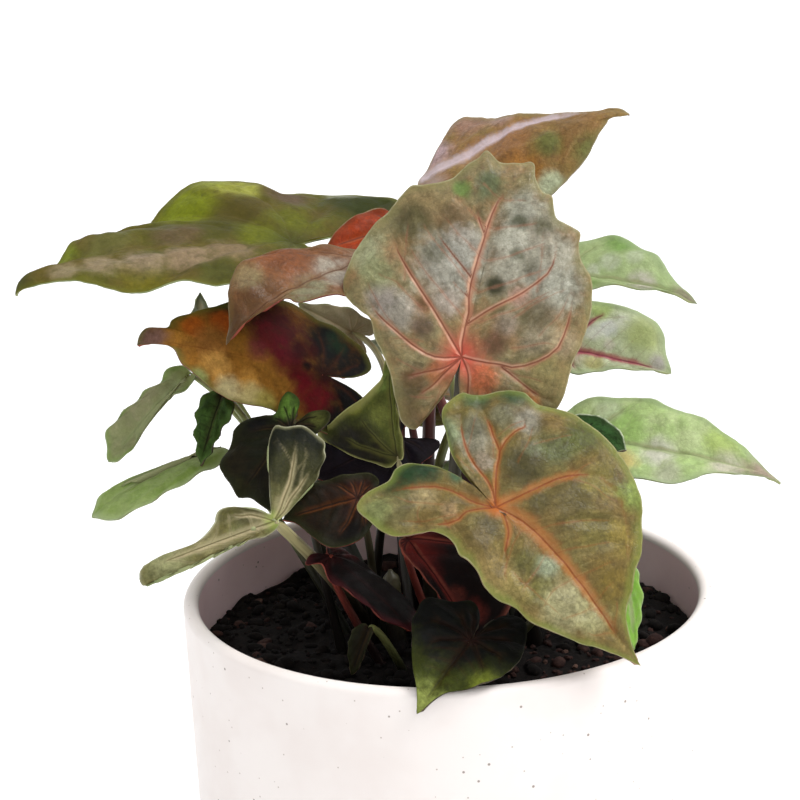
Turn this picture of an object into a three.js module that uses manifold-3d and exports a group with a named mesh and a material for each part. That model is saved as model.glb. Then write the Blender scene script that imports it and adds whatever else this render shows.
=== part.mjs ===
// A potted arrowhead plant: a speckled ceramic pot, its soil, short stems and leaves on long stalks.
// Millimetres, +Z up. The origin is the centre of the pot's underside.
import * as THREE from "three";
import { mergeVertices } from "three/addons/utils/BufferGeometryUtils.js";
import Module from "manifold-3d";

const wasm = await Module();
wasm.setup();

// ---------------------------------------------------------------- driving dimensions
const POT_HEIGHT = 125;
const POT_RADIUS = 70; // outside, at the rim
const POT_TAPER = THREE.MathUtils.degToRad(1);
const POT_WALL = 4;
const POT_FLOOR = 6;
const POT_FOOT_ROUND = 3;
const POT_SIDES = 48;

const SOIL_LEVEL = 110;
const SOIL_BUMP = 1.6;
const SOIL_GAP = 0.3; // between the soil and what it touches
const SOIL_SIDES = POT_SIDES / 2; // its corners stand opposite corners of the pot

const ROOTED = 11; // how far a stalk or a stem goes down into the soil
const BLADE_THICKNESS = 0.7;
const STALK_SIDES = 6;
const STALK_STEPS = 8;
const STALK_TAPER = 0.6; // a stalk's radius at the blade, as a share of its radius at the foot

// ---------------------------------------------------------------- solids
function solidOf(geometry) {
  const bare = new THREE.BufferGeometry();
  bare.setAttribute("position", geometry.getAttribute("position").clone());
  if (geometry.index) bare.setIndex(geometry.index.clone());
  const merged = mergeVertices(bare, 1e-3);
  return new wasm.Manifold(
    new wasm.Mesh({
      numProp: 3,
      vertProperties: merged.getAttribute("position").array,
      triVerts: new Uint32Array(merged.index.array),
    }),
  );
}

function geometryOf(solid) {
  const { vertProperties, triVerts } = solid.getMesh();
  const geometry = new THREE.BufferGeometry();
  geometry.setAttribute("position", new THREE.BufferAttribute(vertProperties, 3));
  geometry.setIndex(new THREE.BufferAttribute(triVerts, 1));
  geometry.computeVertexNormals();
  return geometry;
}

function part(name, solid, colour, roughness) {
  const material = new THREE.MeshStandardMaterial({ color: colour, roughness, metalness: 0 });
  const mesh = new THREE.Mesh(geometryOf(solid), material);
  mesh.name = name;
  return mesh;
}

const vector = ([x, y, z]) => new THREE.Vector3(x, y, z);

// A round tube along a path, thinning evenly from one radius to the other. Its first end may start late.
function tube({ path, steps, from, to, late = 0 }) {
  const section = new THREE.Shape();
  for (let i = 0; i < STALK_SIDES; i += 1) {
    const turn = (2 * Math.PI * i) / STALK_SIDES;
    if (i === 0) section.moveTo(Math.cos(turn), Math.sin(turn));
    else section.lineTo(Math.cos(turn), Math.sin(turn));
  }
  const geometry = new THREE.ExtrudeGeometry(section, { extrudePath: path, steps, bevelEnabled: false });
  const centres = path.getSpacedPoints(steps);
  const start = centres[1].clone().sub(centres[0]).setLength(late);
  const places = geometry.getAttribute("position");
  const place = new THREE.Vector3();
  for (let i = 0; i < places.count; i += 1) {
    place.fromBufferAttribute(places, i);
    const distances = centres.map((centre) => centre.distanceToSquared(place));
    const nearest = distances.indexOf(Math.min(...distances));
    const radius = THREE.MathUtils.lerp(from, to, nearest / steps);
    place.sub(centres[nearest]).multiplyScalar(radius).add(centres[nearest]);
    if (nearest === 0) place.add(start);
    places.setXYZ(i, place.x, place.y, place.z);
  }
  return solidOf(geometry);
}

// The hole that a tube leaves in the soil: the same tube, wider and deeper by the gap.
function holeOf(rod) {
  const wider = SOIL_GAP / Math.cos(Math.PI / STALK_SIDES);
  return tube({ ...rod, from: rod.from + wider, to: rod.to + wider, late: 0 });
}

// ---------------------------------------------------------------- pot and soil
const outerRadius = (z) => POT_RADIUS - (POT_HEIGHT - z) * Math.tan(POT_TAPER);
const innerRadius = (z) => outerRadius(z) - POT_WALL;

function lathe(profile, sides) {
  const points = profile.map(([r, z]) => new THREE.Vector2(r, z));
  return new THREE.LatheGeometry(points, sides).rotateX(Math.PI / 2);
}

const ROUND_CUT = 1 - Math.SQRT1_2; // how far the middle of a round edge stands in from its corner

function makePot() {
  const round = POT_WALL / 2;
  const middle = outerRadius(POT_HEIGHT) - round;
  const rim = [0, 45, 90, 135, 180].map((degrees) => {
    const turn = THREE.MathUtils.degToRad(degrees);
    return [middle + round * Math.cos(turn), POT_HEIGHT - round + round * Math.sin(turn)];
  });
  const profile = [
    [0, 0],
    [outerRadius(0) - POT_FOOT_ROUND, 0],
    [outerRadius(0) - POT_FOOT_ROUND * ROUND_CUT, POT_FOOT_ROUND * ROUND_CUT],
    [outerRadius(POT_FOOT_ROUND), POT_FOOT_ROUND],
    ...rim,
    [innerRadius(POT_FLOOR), POT_FLOOR],
    [0, POT_FLOOR],
  ];
  return solidOf(lathe(profile, POT_SIDES));
}

const soilHeight = (x, y) =>
  SOIL_LEVEL + SOIL_BUMP * (Math.sin(0.19 * x + 0.8) * Math.cos(0.17 * y - 0.4) + 0.4 * Math.sin(0.3 * y));

// The soil lies level along the pot's wall and is uneven inside.
function makeSoil(holes) {
  const bottom = POT_FLOOR + SOIL_GAP;
  const edge = (z) => innerRadius(z) - SOIL_GAP;
  const rings = [1, 0.85, 0.65, 0.43, 0.2]; // shares of the top's radius
  const topRadius = edge(SOIL_LEVEL);
  const profile = [[0, bottom], [edge(bottom), bottom]];
  rings.forEach((share) => profile.push([share * topRadius, SOIL_LEVEL]));
  profile.push([0, SOIL_LEVEL]);
  const geometry = lathe(profile, SOIL_SIDES);
  const places = geometry.getAttribute("position");
  for (let i = 0; i < places.count; i += 1) {
    const [x, y, z] = [places.getX(i), places.getY(i), places.getZ(i)];
    const inside = z === SOIL_LEVEL && Math.hypot(x, y) < rings[1] * topRadius + SOIL_GAP;
    if (inside) places.setZ(i, soilHeight(x, y));
  }
  return holes.reduce((soil, hole) => soil.subtract(hole), solidOf(geometry));
}

// ---------------------------------------------------------------- stems
// Short stems that stand in the soil, among the feet of the stalks.
const STEMS = [
  { name: "stem_middle", foot: [-3, 3], top: [-4, 4], height: 30, radius: 3.2 },
  { name: "stem_right", foot: [9, -9], top: [10, -11], height: 24, radius: 2.8 },
  { name: "stem_left", foot: [-13, -8], top: [-15, -8], height: 22, radius: 2.8 },
  { name: "stem_back", foot: [6, 14], top: [7, 16], height: 26, radius: 2.8 },
];

const STEM_STEPS = 2;
const STEM_TAPER = 0.75;

function stemRod({ foot, top, height, radius }) {
  const low = new THREE.Vector3(...foot, SOIL_LEVEL - ROOTED);
  const path = new THREE.LineCurve3(low, new THREE.Vector3(...top, SOIL_LEVEL + height));
  return { path, steps: STEM_STEPS, from: radius, to: STEM_TAPER * radius, late: SOIL_GAP };
}

// ---------------------------------------------------------------- leaf blades
// A half outline is a list of [degrees round from the tip's direction, reach, lift]. Reach and lift are
// shares of the leaf's length, measured from the point where the stalk meets the blade.
const ARROW = [
  [0, 1], [18, 0.74], [38, 0.62], [60, 0.54], [85, 0.49], [108, 0.46], [128, 0.49], [146, 0.53],
  [158, 0.48], [168, 0.3], [180, 0.04],
];
const SLIM = [
  [0, 1], [15, 0.68], [30, 0.5], [50, 0.4], [75, 0.33], [105, 0.32], [128, 0.38], [146, 0.44],
  [158, 0.4], [168, 0.26], [180, 0.04],
];
const LANCE = [[0, 1], [15, 0.68], [30, 0.5], [50, 0.36], [75, 0.25], [100, 0.17], [150, 0.08], [180, 0.04]];
const STRAP = [[0, 1], [6, 0.86], [11, 0.62], [18, 0.42], [35, 0.22], [70, 0.13], [130, 0.08], [180, 0.04]];
const NARROW = [[0, 1], [5, 0.8], [12, 0.42], [28, 0.22], [60, 0.12], [120, 0.07], [180, 0.04]];

// What a leaf has unless it says otherwise. bend, hook and lobeBend curve the midrib, in degrees: over its
// whole length, past the share hookFrom, and back through the lobes. fold and cup are for the right and the
// left half: the half's slope at the midrib, and how much it turns from there to half a length out. radius
// is the stalk's, at its foot. spokes and rings set how finely a half is split.
const DEFAULTS = {
  bend: 20, hook: 0, hookFrom: 0.65, lobeBend: 15, fold: [10, 10], cup: [-10, -10],
  spokes: 10, rings: 2, radius: 1.35,
};

// Each leaf has its own shape and place. junction is where the stalk meets the blade, tip is the blade's
// point and face is where its upper side looks. The stalk leaves its foot in the soil towards rise, and comes
// to the junction from arrive.
const LEAVES = [
  {
    name: "leaf_top", colour: 0x7d7468, spokes: 16, rings: 4, radius: 2.2,
    junction: [4.4, -26, 193.2], tip: [18.3, -8, 237.4], face: [-0.05, -0.97, 0.24],
    right: [
      [0, 1], [17, 0.91], [28, 0.8], [54, 0.66], [70, 0.59], [88, 0.55], [106, 0.51], [122, 0.47],
      [138, 0.45], [152, 0.44], [164, 0.33], [173, 0.12], [180, 0.03],
    ],
    left: [
      [0, 1], [9, 1], [17, 0.91], [40, 0.82], [54, 0.75], [70, 0.69], [88, 0.45], [106, 0.38],
      [138, 0.41], [152, 0.42], [164, 0.33], [173, 0.12], [180, 0.03],
    ],
    bend: 15, hook: 20, hookFrom: 0.8, cup: [-18, -18], lobeBend: 25,
    foot: [-2.2, -3.8], rise: [-0.2, -10.3, 127.4], arrive: [4.1, -24.8, 189.1],
  },
  {
    name: "leaf_front_right", colour: 0x6f6a45, spokes: 16, rings: 4, radius: 2.2,
    junction: [10.5, -54, 163.8], tip: [42.8, -66, 128.1], face: [0.1, -0.8, 0.6],
    right: [
      [0, 1], [18, 0.66], [40, 0.48], [54, 0.41], [88, 0.28], [106, 0.31], [122, 0.52], [138, 0.62],
      [150, 0.57], [164, 0.46], [173, 0.33], [180, 0.03],
    ],
    left: [
      [0, 1], [4, 0.88], [18, 0.74], [40, 0.69], [54, 0.68], [70, 0.64], [106, 0.63], [122, 0.61],
      [152, 0.57], [164, 0.47], [173, 0.31], [180, 0.03],
    ],
    bend: 25, fold: [6, 6], cup: [-12, -12], lobeBend: 20,
    foot: [22, -7.6], rise: [24.8, -11.2, 125.1], arrive: [5.1, -34.8, 161.7],
  },
  {
    name: "leaf_back_top", colour: 0x8b6a58, spokes: 14, rings: 3, radius: 2.2,
    junction: [-0.7, 24, 226.1], tip: [51.8, 26, 243.9], face: [0.1, -0.75, 0.65],
    right: [
      [0, 1], [1, 0.88], [6, 0.8], [17, 0.674], [40, 0.47], [54, 0.37], [80, 0.34], [106, 0.38],
      [130, 0.44], [152, 0.42], [164, 0.32], [180, 0.04],
    ],
    left: [
      [0, 1], [5, 0.87], [9, 0.76], [29, 0.584], [42, 0.52], [64, 0.53], [75, 0.33], [88, 0.19],
      [120, 0.12], [180, 0.04],
    ],
    bend: 10, hook: 45, hookFrom: 0.7, fold: [-8, -25],
    foot: [-13.2, 22.8], rise: [0.4, 1.7, 144.1], arrive: [-4.1, 26.7, 200.6],
  },
  {
    name: "leaf_left_long", colour: 0x87914a, spokes: 16, rings: 4, radius: 2.3,
    junction: [-37.8, 16, 214.7], tip: [-105.8, -12, 208.8], face: [0, -0.21, 0.98],
    right: [
      [0, 1], [10, 0.83, -0.113], [18, 0.74, -0.085], [26, 0.69, -0.14], [33, 0.65, -0.165],
      [44, 0.594, -0.193], [51, 0.57, -0.172], [56, 0.556, -0.128], [70, 0.52, -0.07], [88, 0.49, -0.058],
      [106, 0.46, -0.072], [122, 0.48, -0.05], [138, 0.51], [150, 0.545, 0.05], [164, 0.37, 0.03],
      [180, 0.04],
    ],
    left: [
      [0, 1], [10, 0.77, -0.027], [18, 0.64, -0.075], [28, 0.52, -0.026], [38, 0.44, -0.056],
      [54, 0.34, -0.06], [70, 0.27, 0.02], [88, 0.21], [122, 0.13], [180, 0.04],
    ],
    bend: 15, hook: 80, hookFrom: 0.8, fold: [14, 4], cup: [0, 0],
    foot: [-13.2, 0], rise: [-22.5, -10.6, 141.6], arrive: [-54.6, 20.8, 179.2],
  },
  {
    name: "leaf_left_drooping", colour: 0x96705e, spokes: 12, rings: 3, radius: 1.8,
    junction: [-19.3, -4.6, 213.1], tip: [-52.6, -27.6, 198.5], face: [-0.1, -0.7, 0.7],
    right: [[0, 1], [4, 0.9], [18, 0.77], [28, 0.63], [45, 0.3], [80, 0.14], [130, 0.1], [180, 0.04]],
    left: [[0, 1], [4, 0.61], [10, 0.54], [40, 0.32], [70, 0.27], [90, 0.2], [130, 0.12], [180, 0.04]],
    bend: 30, hook: 50, hookFrom: 0.5, fold: [5, 5],
    foot: [15.4, -11.4], rise: [15.4, 3.9, 134.2], arrive: [-6.2, 5.9, 199.7],
  },
  {
    name: "leaf_small_red", colour: 0xa85a32, spokes: 9, rings: 2,
    junction: [-10, 16, 217.7], tip: [-29.3, 9, 213.9], face: [-0.3, -0.81, 0.51],
    right: [[0, 1], [18, 0.73], [45, 0.45], [70, 0.31], [106, 0.24], [130, 0.38], [152, 0.42], [180, 0.04]],
    left: [[0, 1], [10, 0.9], [18, 0.69], [45, 0.36], [80, 0.3], [130, 0.38], [152, 0.42], [180, 0.04]],
    foot: [-6.6, 11.4], rise: [1.6, 8.2, 151], arrive: [-20.1, 11.7, 203.1],
  },
  {
    name: "leaf_left_red", colour: 0x7c3a2c, spokes: 14, rings: 4, radius: 1.9,
    junction: [-30.9, 2, 182.7], tip: [-76.7, -10, 195], face: [-0.1, -0.75, 0.65],
    right: [
      [0, 1], [4.9, 0.94], [6.2, 0.84], [15, 0.75], [24, 0.65], [40, 0.55], [70, 0.43], [88, 0.34],
      [106, 0.33], [138, 0.36], [158, 0.33], [170, 0.2], [180, 0.04],
    ],
    left: [
      [0, 1], [0.9, 0.83], [7, 0.766], [18, 0.63], [28, 0.52], [40, 0.39], [60, 0.29], [88, 0.24],
      [138, 0.26], [158, 0.24], [180, 0.04],
    ],
    bend: 15, hook: 60, hookFrom: 0.75, fold: [-4, -4], cup: [-12, -12],
    foot: [-22, 7.6], rise: [-26.1, 2.8, 134.9], arrive: [-30.3, 9.3, 174.2],
  },
  {
    name: "leaf_left_hanging", colour: 0x8f9a72, spokes: 9, rings: 2,
    junction: [-67.9, 22, 178.2], tip: [-90.2, 16, 156.5], face: [-0.41, -0.82, 0.41],
    right: [[0, 1], [10, 0.88], [18, 0.62], [30, 0.34], [60, 0.19], [110, 0.11], [180, 0.04]],
    left: [
      [0, 1], [8, 0.8], [7, 0.69], [1.2, 0.6], [1.2, 0.36], [9, 0.21], [38, 0.146], [130, 0.08],
      [180, 0.04],
    ],
    bend: 15,
    foot: [-13.2, 7.6], rise: [-17.8, 5.7, 120.2], arrive: [-59.5, 30.9, 175.5],
  },
  {
    name: "leaf_left_strap", colour: 0x93a167, spokes: 9, rings: 2,
    junction: [-59.8, 5, 162.8], tip: [-92, -8, 149.2], face: [-0.37, -0.56, 0.74],
    right: [
      [0, 1], [5, 0.86], [5.4, 0.8], [2, 0.67], [1.2, 0.54], [1.5, 0.33], [4, 0.2], [26, 0.06],
      [180, 0.04],
    ],
    left: [[0, 1], [10, 0.92], [18, 0.8], [28, 0.52], [45, 0.29], [70, 0.2], [120, 0.12], [180, 0.04]],
    hook: 20,
    foot: [-22, 0], rise: [-32.5, 2, 125.4], arrive: [-53.7, 10.5, 158.4],
  },
  {
    name: "leaf_front_left", colour: 0x76784f, spokes: 16, rings: 3, radius: 1.9,
    junction: [-42, -44, 158.9], tip: [-73.2, -55, 151.4], face: [-0.3, -0.89, 0.35],
    right: [
      [0, 1], [2, 0.9], [3.8, 0.75], [6, 0.54], [17, 0.42], [31.5, 0.393], [43, 0.26], [58, 0.1],
      [80, 0.06], [98, 0.1], [107, 0.4], [110, 0.64], [119, 0.72], [134, 0.743], [146, 0.64],
      [156, 0.455], [168, 0.12], [180, 0.04],
    ],
    left: [
      [0, 1], [6, 1.03], [8, 0.94], [9.7, 0.65], [12, 0.44], [25, 0.19], [51, 0.13], [110, 0.06],
      [180, 0.04],
    ],
    bend: 10, lobeBend: 0, fold: [5, -40],
    foot: [-17.1, 4.1], rise: [-21, 4.5, 114], arrive: [-31, -27, 140.5],
  },
  {
    name: "leaf_curled", colour: 0x7f8748, spokes: 11,
    junction: [-12.2, -17, 165.8], tip: [-13.6, -12, 191.5], face: [-0.47, -0.83, 0.31],
    right: NARROW,
    left: [
      [0, 1], [10, 0.79], [30, 0.76], [50, 0.82], [68, 0.88], [84, 0.7], [104, 0.3], [138, 0.16],
      [180, 0.04],
    ],
    fold: [15, -3], cup: [0, -4],
    foot: [4.4, -15.2], rise: [5.3, -21, 141], arrive: [-11, -17.4, 152.2],
  },
  {
    name: "leaf_left_dark", colour: 0x4a4f33, spokes: 12,
    junction: [-38.7, -18, 174.3], tip: [-52, -25, 158.7], face: [-0.3, -0.81, 0.51],
    right: [
      [0, 1], [18, 0.93], [28, 0.88], [40, 0.7], [54, 0.63], [70, 0.5], [88, 0.28], [106, 0.28],
      [122, 0.38], [138, 0.46], [158, 0.36], [180, 0.04],
    ],
    left: [
      [0, 1], [10, 0.92], [28, 1.02], [40, 0.93], [54, 0.73], [70, 0.5], [100, 0.32], [130, 0.46],
      [152, 0.48], [166, 0.3], [180, 0.04],
    ],
    foot: [-26.4, -7.6], rise: [-30.2, -9, 118.6], arrive: [-37.8, -17.6, 167.9],
  },
  {
    name: "leaf_middle_dark", colour: 0x46452e, spokes: 11,
    junction: [-22.3, -32, 160], tip: [-40.6, -36, 156.4], face: [-0.1, -0.75, 0.65],
    right: [
      [0, 1], [18, 0.81], [28, 0.69], [40, 0.52], [60, 0.4], [88, 0.34], [130, 0.38], [158, 0.38],
      [180, 0.04],
    ],
    left: [
      [0, 1], [10, 0.84], [40, 0.8], [54, 0.74], [70, 0.66], [88, 0.51], [110, 0.4], [138, 0.5],
      [156, 0.46], [180, 0.04],
    ],
    foot: [-19.8, -3.8], rise: [-19.3, -8.4, 110.9], arrive: [-17.8, -21.3, 142.4],
  },
  {
    name: "leaf_arched_red", colour: 0x6b2f2a, spokes: 11,
    junction: [-29, -33, 145.5], tip: [-9.4, -44, 129.3], face: [0.2, -0.5, 0.84],
    right: [[0, 1], [10, 0.75], [18, 0.5], [50, 0.24], [100, 0.12], [122, 0.24], [150, 0.17], [180, 0.04]],
    left: [
      [0, 1], [14, 0.98], [28, 0.96], [42, 0.9], [56, 0.62], [88, 0.48], [120, 0.24], [140, 0.17],
      [180, 0.04],
    ],
    fold: [-10, -25], cup: [-20, -30],
    foot: [-13.2, -15.2], rise: [-18.8, -21.8, 113.1], arrive: [-34.3, -28.1, 144.6],
  },
  {
    name: "leaf_under_red", colour: 0x6e2c2e, spokes: 11,
    junction: [-10.1, -32, 148.7], tip: [6, -46, 127], face: [0.32, -0.79, 0.53],
    right: NARROW,
    left: [
      [0, 1], [18, 0.98], [28, 0.94], [40, 0.8], [54, 0.6], [80, 0.4], [110, 0.34], [140, 0.44],
      [156, 0.4], [180, 0.04],
    ],
    foot: [2.2, -11.4], rise: [-2.8, -18.4, 115], arrive: [-13.4, -26.3, 146.3],
  },
  {
    name: "leaf_front_low", colour: 0x56642f, spokes: 12, rings: 3, radius: 1.6,
    junction: [3.6, -60, 133.2], tip: [-9.5, -74, 121.5], face: [0.1, -0.5, 0.86],
    right: [
      [0, 1], [10, 0.8], [28, 0.68], [70, 0.62], [88, 0.66], [106, 0.66], [126, 0.52], [152, 0.48],
      [166, 0.32], [180, 0.04],
    ],
    left: [
      [0, 1], [10, 0.71], [40, 0.57], [88, 0.56], [122, 0.58], [138, 0.62], [154, 0.62], [170, 0.5],
      [180, 0.04],
    ],
    bend: 15, hook: 20,
    foot: [-2.2, -19], rise: [0.7, -30.6, 114], arrive: [2.9, -52.4, 130.1],
  },
  {
    name: "leaf_right_upper", colour: 0x93a56a, spokes: 12, rings: 3, radius: 1.8,
    junction: [30.2, 5, 205.9], tip: [65, -6, 199.8], face: [0.2, -0.61, 0.76],
    right: [[0, 1], [4, 0.66], [12, 0.38], [54, 0.22], [90, 0.16], [122, 0.3], [148, 0.36], [180, 0.04]],
    left: [
      [0, 1], [4, 0.86], [18, 0.7], [28, 0.61], [40, 0.55], [54, 0.45], [80, 0.3], [110, 0.26],
      [145, 0.36], [180, 0.04],
    ],
    bend: 25, hook: 30,
    foot: [6.6, 3.8], rise: [13, 0.1, 140.4], arrive: [20.4, 13.4, 191.1],
  },
  {
    name: "leaf_right_middle", colour: 0x8d9c66, spokes: 12, radius: 1.6,
    junction: [33.7, 30, 180.5], tip: [63.9, 30, 172.4], face: [0.21, -0.83, 0.52],
    right: [[0, 1], [10, 0.54], [30, 0.36], [54, 0.28], [80, 0.22], [122, 0.3], [146, 0.38], [180, 0.04]],
    left: [
      [0, 1], [10, 0.93], [18, 0.92], [28, 0.87], [40, 0.73], [70, 0.5], [100, 0.36], [138, 0.44],
      [156, 0.4], [180, 0.04],
    ],
    foot: [10, 9.8], rise: [-0.4, 13.1, 144.5], arrive: [32.7, -4.5, 174.6],
  },
  {
    name: "leaf_right_lower", colour: 0x97b06e, spokes: 13, rings: 3, radius: 1.9,
    junction: [35.8, -10, 166.2], tip: [83.4, -24, 157.8], face: [0.15, -0.7, 0.7],
    right: [
      [0, 1], [4, 0.71], [18, 0.55], [28, 0.43], [44, 0.3], [70, 0.23], [100, 0.22], [130, 0.34],
      [152, 0.36], [180, 0.04],
    ],
    left: [[0, 1], [10, 0.74], [30, 0.48], [54, 0.33], [88, 0.24], [122, 0.21], [152, 0.17], [180, 0.04]],
    hook: 20,
    foot: [17.6, 0], rise: [23.4, -1, 117.4], arrive: [34.7, -5.2, 158.5],
  },
  {
    name: "leaf_right_sliver", colour: 0x86b548, spokes: 8, rings: 2,
    junction: [40.4, -42, 146.4], tip: [43.3, -52, 126.1], face: [0.5, -0.7, 0.5],
    right: LANCE,
    left: [[0, 1], [18, 0.52], [40, 0.28], [106, 0.12], [180, 0.04]],
    foot: [2.2, -19], rise: [9.4, -27.9, 112.1], arrive: [34, -34.9, 145.1],
  },
  {
    name: "leaf_low_small", colour: 0x3f4a30, spokes: 7, rings: 2,
    junction: [-20.6, -42, 129.9], tip: [-25.1, -46, 119.2], face: [-0.31, -0.93, 0.21],
    right: LANCE, left: STRAP,
    foot: [-8.8, -15.2], rise: [-12.3, -22.5, 108.9], arrive: [-17.6, -36.3, 128.8],
  },
  {
    name: "leaf_pale_back", colour: 0xb9ad98, spokes: 8, rings: 2,
    junction: [-23.6, 36, 185.5], tip: [-37.8, 32, 194.8], face: [-0.2, -0.9, 0.4],
    right: SLIM, left: SLIM,
    foot: [-18, 11.4], rise: [-25.7, 19.6, 125.7], arrive: [-0.2, -13.5, 187.5],
  },
  {
    name: "leaf_left_behind", colour: 0x7f8a70, spokes: 7, rings: 2,
    junction: [-62.8, 30, 184.6], tip: [-64.2, 28, 199.6], face: [-0.2, -0.9, 0.4],
    right: LANCE, left: LANCE,
    foot: [-15.4, 19], rise: [-32.8, 21.1, 134.8], arrive: [-61, 38.5, 169.7],
  },
  {
    name: "leaf_left_wavy", colour: 0x45592f, spokes: 9, rings: 2,
    junction: [-56.9, 0, 178.3], tip: [-63, -6, 161.4], face: [-0.41, -0.82, 0.41],
    right: LANCE, left: [[0, 1], [10, 0.78], [20, 0.51], [54, 0.35], [75, 0.25], [120, 0.12], [180, 0.04]],
    foot: [-17.6, 15.2], rise: [-26.3, 12, 114.9], arrive: [-53.3, 14.7, 174.8],
  },
  {
    name: "leaf_shaded", colour: 0x2f2a30, spokes: 9,
    junction: [-12.3, -2, 166], tip: [-33.1, -10, 158.4], face: [-0.1, -0.8, 0.6],
    right: [[0, 1], [18, 0.92], [30, 0.76], [50, 0.5], [75, 0.32], [110, 0.3], [145, 0.44], [180, 0.04]],
    left: [[0, 1], [18, 0.85], [40, 0.71], [60, 0.52], [88, 0.44], [130, 0.46], [152, 0.46], [180, 0.04]],
    foot: [-4.4, -15.2], rise: [-13.9, -22.2, 123.7], arrive: [-11.2, -5.3, 163.7],
  },
  {
    name: "leaf_right_dark", colour: 0x3f5a34, spokes: 8, rings: 2,
    junction: [30.3, -34, 173.1], tip: [43.1, -38, 172.1], face: [0.1, -0.8, 0.6],
    right: LANCE,
    left: [[0, 1], [18, 0.89], [40, 0.72], [70, 0.6], [100, 0.5], [138, 0.42], [156, 0.36], [180, 0.04]],
    foot: [8.8, -15.2], rise: [21.7, -30.6, 131.1], arrive: [22.6, -22.4, 157.3],
  },
  {
    name: "leaf_back_1", colour: 0x5d6640, radius: 1.9,
    junction: [8, 36, 166], tip: [24, 78, 144], face: [0.2, 0.6, 0.9], right: ARROW, left: ARROW,
    bend: 25, foot: [4.4, 7.6], rise: [-4, 4, 143.9], arrive: [-6, 32.4, 143.5],
  },
  {
    name: "leaf_back_2", colour: 0x6c6a48, radius: 1.9,
    junction: [-20, 34, 160], tip: [-48, 72, 142], face: [-0.3, 0.5, 0.9], right: ARROW, left: ARROW,
    bend: 25, foot: [0, 22.8], rise: [-12.1, 19.1, 107.4], arrive: [4.7, 21.4, 148.7],
  },
  {
    name: "leaf_back_3", colour: 0x5b6a3c, radius: 1.8,
    junction: [22, 20, 146], tip: [42, 58, 128], face: [0.3, 0.4, 0.9], right: ARROW, left: ARROW,
    bend: 25, foot: [17.6, 7.6], rise: [16.8, 9.9, 111.4], arrive: [18, 13.8, 137.3],
  },
  {
    name: "leaf_back_4", colour: 0x74603f, radius: 1.8,
    junction: [-8, 36, 140], tip: [-16, 82, 131], face: [0, 0.5, 0.9], right: ARROW, left: ARROW,
    bend: 25, foot: [4.4, 22.8], rise: [3.1, 25.8, 109.2], arrive: [-7.1, 29.5, 130],
  },
  {
    name: "leaf_back_5", colour: 0x7a6a50, radius: 1.9,
    junction: [-4, 42, 196], tip: [-18, 78, 186], face: [0, 0.3, 1], right: ARROW, left: ARROW,
    bend: 35, foot: [-8.8, 7.6], rise: [-12.5, -6.1, 131.4], arrive: [-13.8, 14.8, 191.5],
  },
  {
    name: "leaf_back_6", colour: 0x68713f, radius: 1.9,
    junction: [-6, 50, 178], tip: [-14, 88, 164], face: [-0.1, 0.3, 0.9], right: SLIM, left: SLIM,
    bend: 30, foot: [3.2, 2.4], rise: [-11.4, -14.1, 123.8], arrive: [18.7, 5.2, 183.5],
  },
];

// The slope of the midrib, in radians, at a share of the way from the stalk to the tip.
function slopeAt(leaf, share) {
  if (share < 0) return THREE.MathUtils.degToRad(leaf.lobeBend * share);
  const past = Math.max(0, (share - leaf.hookFrom) / (1 - leaf.hookFrom));
  return THREE.MathUtils.degToRad(leaf.bend * share + leaf.hook * past * past);
}

// The midrib as a curve in its own upright plane: x runs to the tip, y to the upper face.
const MIDRIB_REACH = 1.3;
const MIDRIB_STEP = 0.01;

function midribOf(leaf) {
  const walk = (direction) => {
    const points = [new THREE.Vector2(0, 0)];
    for (let i = 0; i * MIDRIB_STEP < MIDRIB_REACH; i += 1) {
      const slope = slopeAt(leaf, direction * (i + 0.5) * MIDRIB_STEP);
      const step = new THREE.Vector2(Math.cos(slope), -Math.sin(slope));
      points.push(points[i].clone().addScaledVector(step, direction * MIDRIB_STEP));
    }
    return points;
  };
  const ahead = walk(1);
  const behind = walk(-1);
  return (share) => {
    const side = share < 0 ? behind : ahead;
    const place = Math.min(Math.abs(share) / MIDRIB_STEP, side.length - 1.001);
    const index = Math.floor(place);
    return side[index].clone().lerp(side[index + 1], place - index);
  };
}

const FLAT_CUP = 0.01; // degrees, for a half that is straight across
const HALF_LENGTH = 0.5;

// Carries a point of the flat leaf (across, along, lift) to its place on the bent blade.
function bladeShape(leaf) {
  const midrib = midribOf(leaf);
  const junction = vector(leaf.junction);
  const chord = vector(leaf.tip).sub(junction);
  const size = chord.length() / midrib(1).length();
  const along = chord.clone().normalize();
  const up = vector(leaf.face).addScaledVector(along, -vector(leaf.face).dot(along)).normalize();
  const lean = slopeAt(leaf, 0) + slopeAt(leaf, 1);
  const flatAlong = midrib(1).normalize();
  const flatUp = new THREE.Vector2(Math.sin(lean / 2), Math.cos(lean / 2));
  flatUp.addScaledVector(flatAlong, -flatUp.dot(flatAlong)).normalize();
  const across = new THREE.Vector3().crossVectors(along, up);
  const toWorld = (x, y, z) => {
    const flat = new THREE.Vector2(y, z);
    return junction
      .clone()
      .addScaledVector(across, size * x)
      .addScaledVector(along, size * flat.dot(flatAlong))
      .addScaledVector(up, size * flat.dot(flatUp));
  };
  return (x, y, lift) => {
    const side = x < 0 ? 1 : 0;
    const fold = THREE.MathUtils.degToRad(leaf.fold[side]);
    const curl = THREE.MathUtils.degToRad(leaf.cup[side] || FLAT_CUP) / HALF_LENGTH;
    const turned = fold + curl * Math.abs(x);
    const out = (Math.sign(x) * (Math.sin(turned) - Math.sin(fold))) / curl;
    const high = (Math.cos(fold) - Math.cos(turned)) / curl + lift;
    const slope = slopeAt(leaf, y);
    const rib = midrib(y);
    return toWorld(out, rib.x + high * Math.sin(slope), rib.y + high * Math.cos(slope));
  };
}

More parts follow.
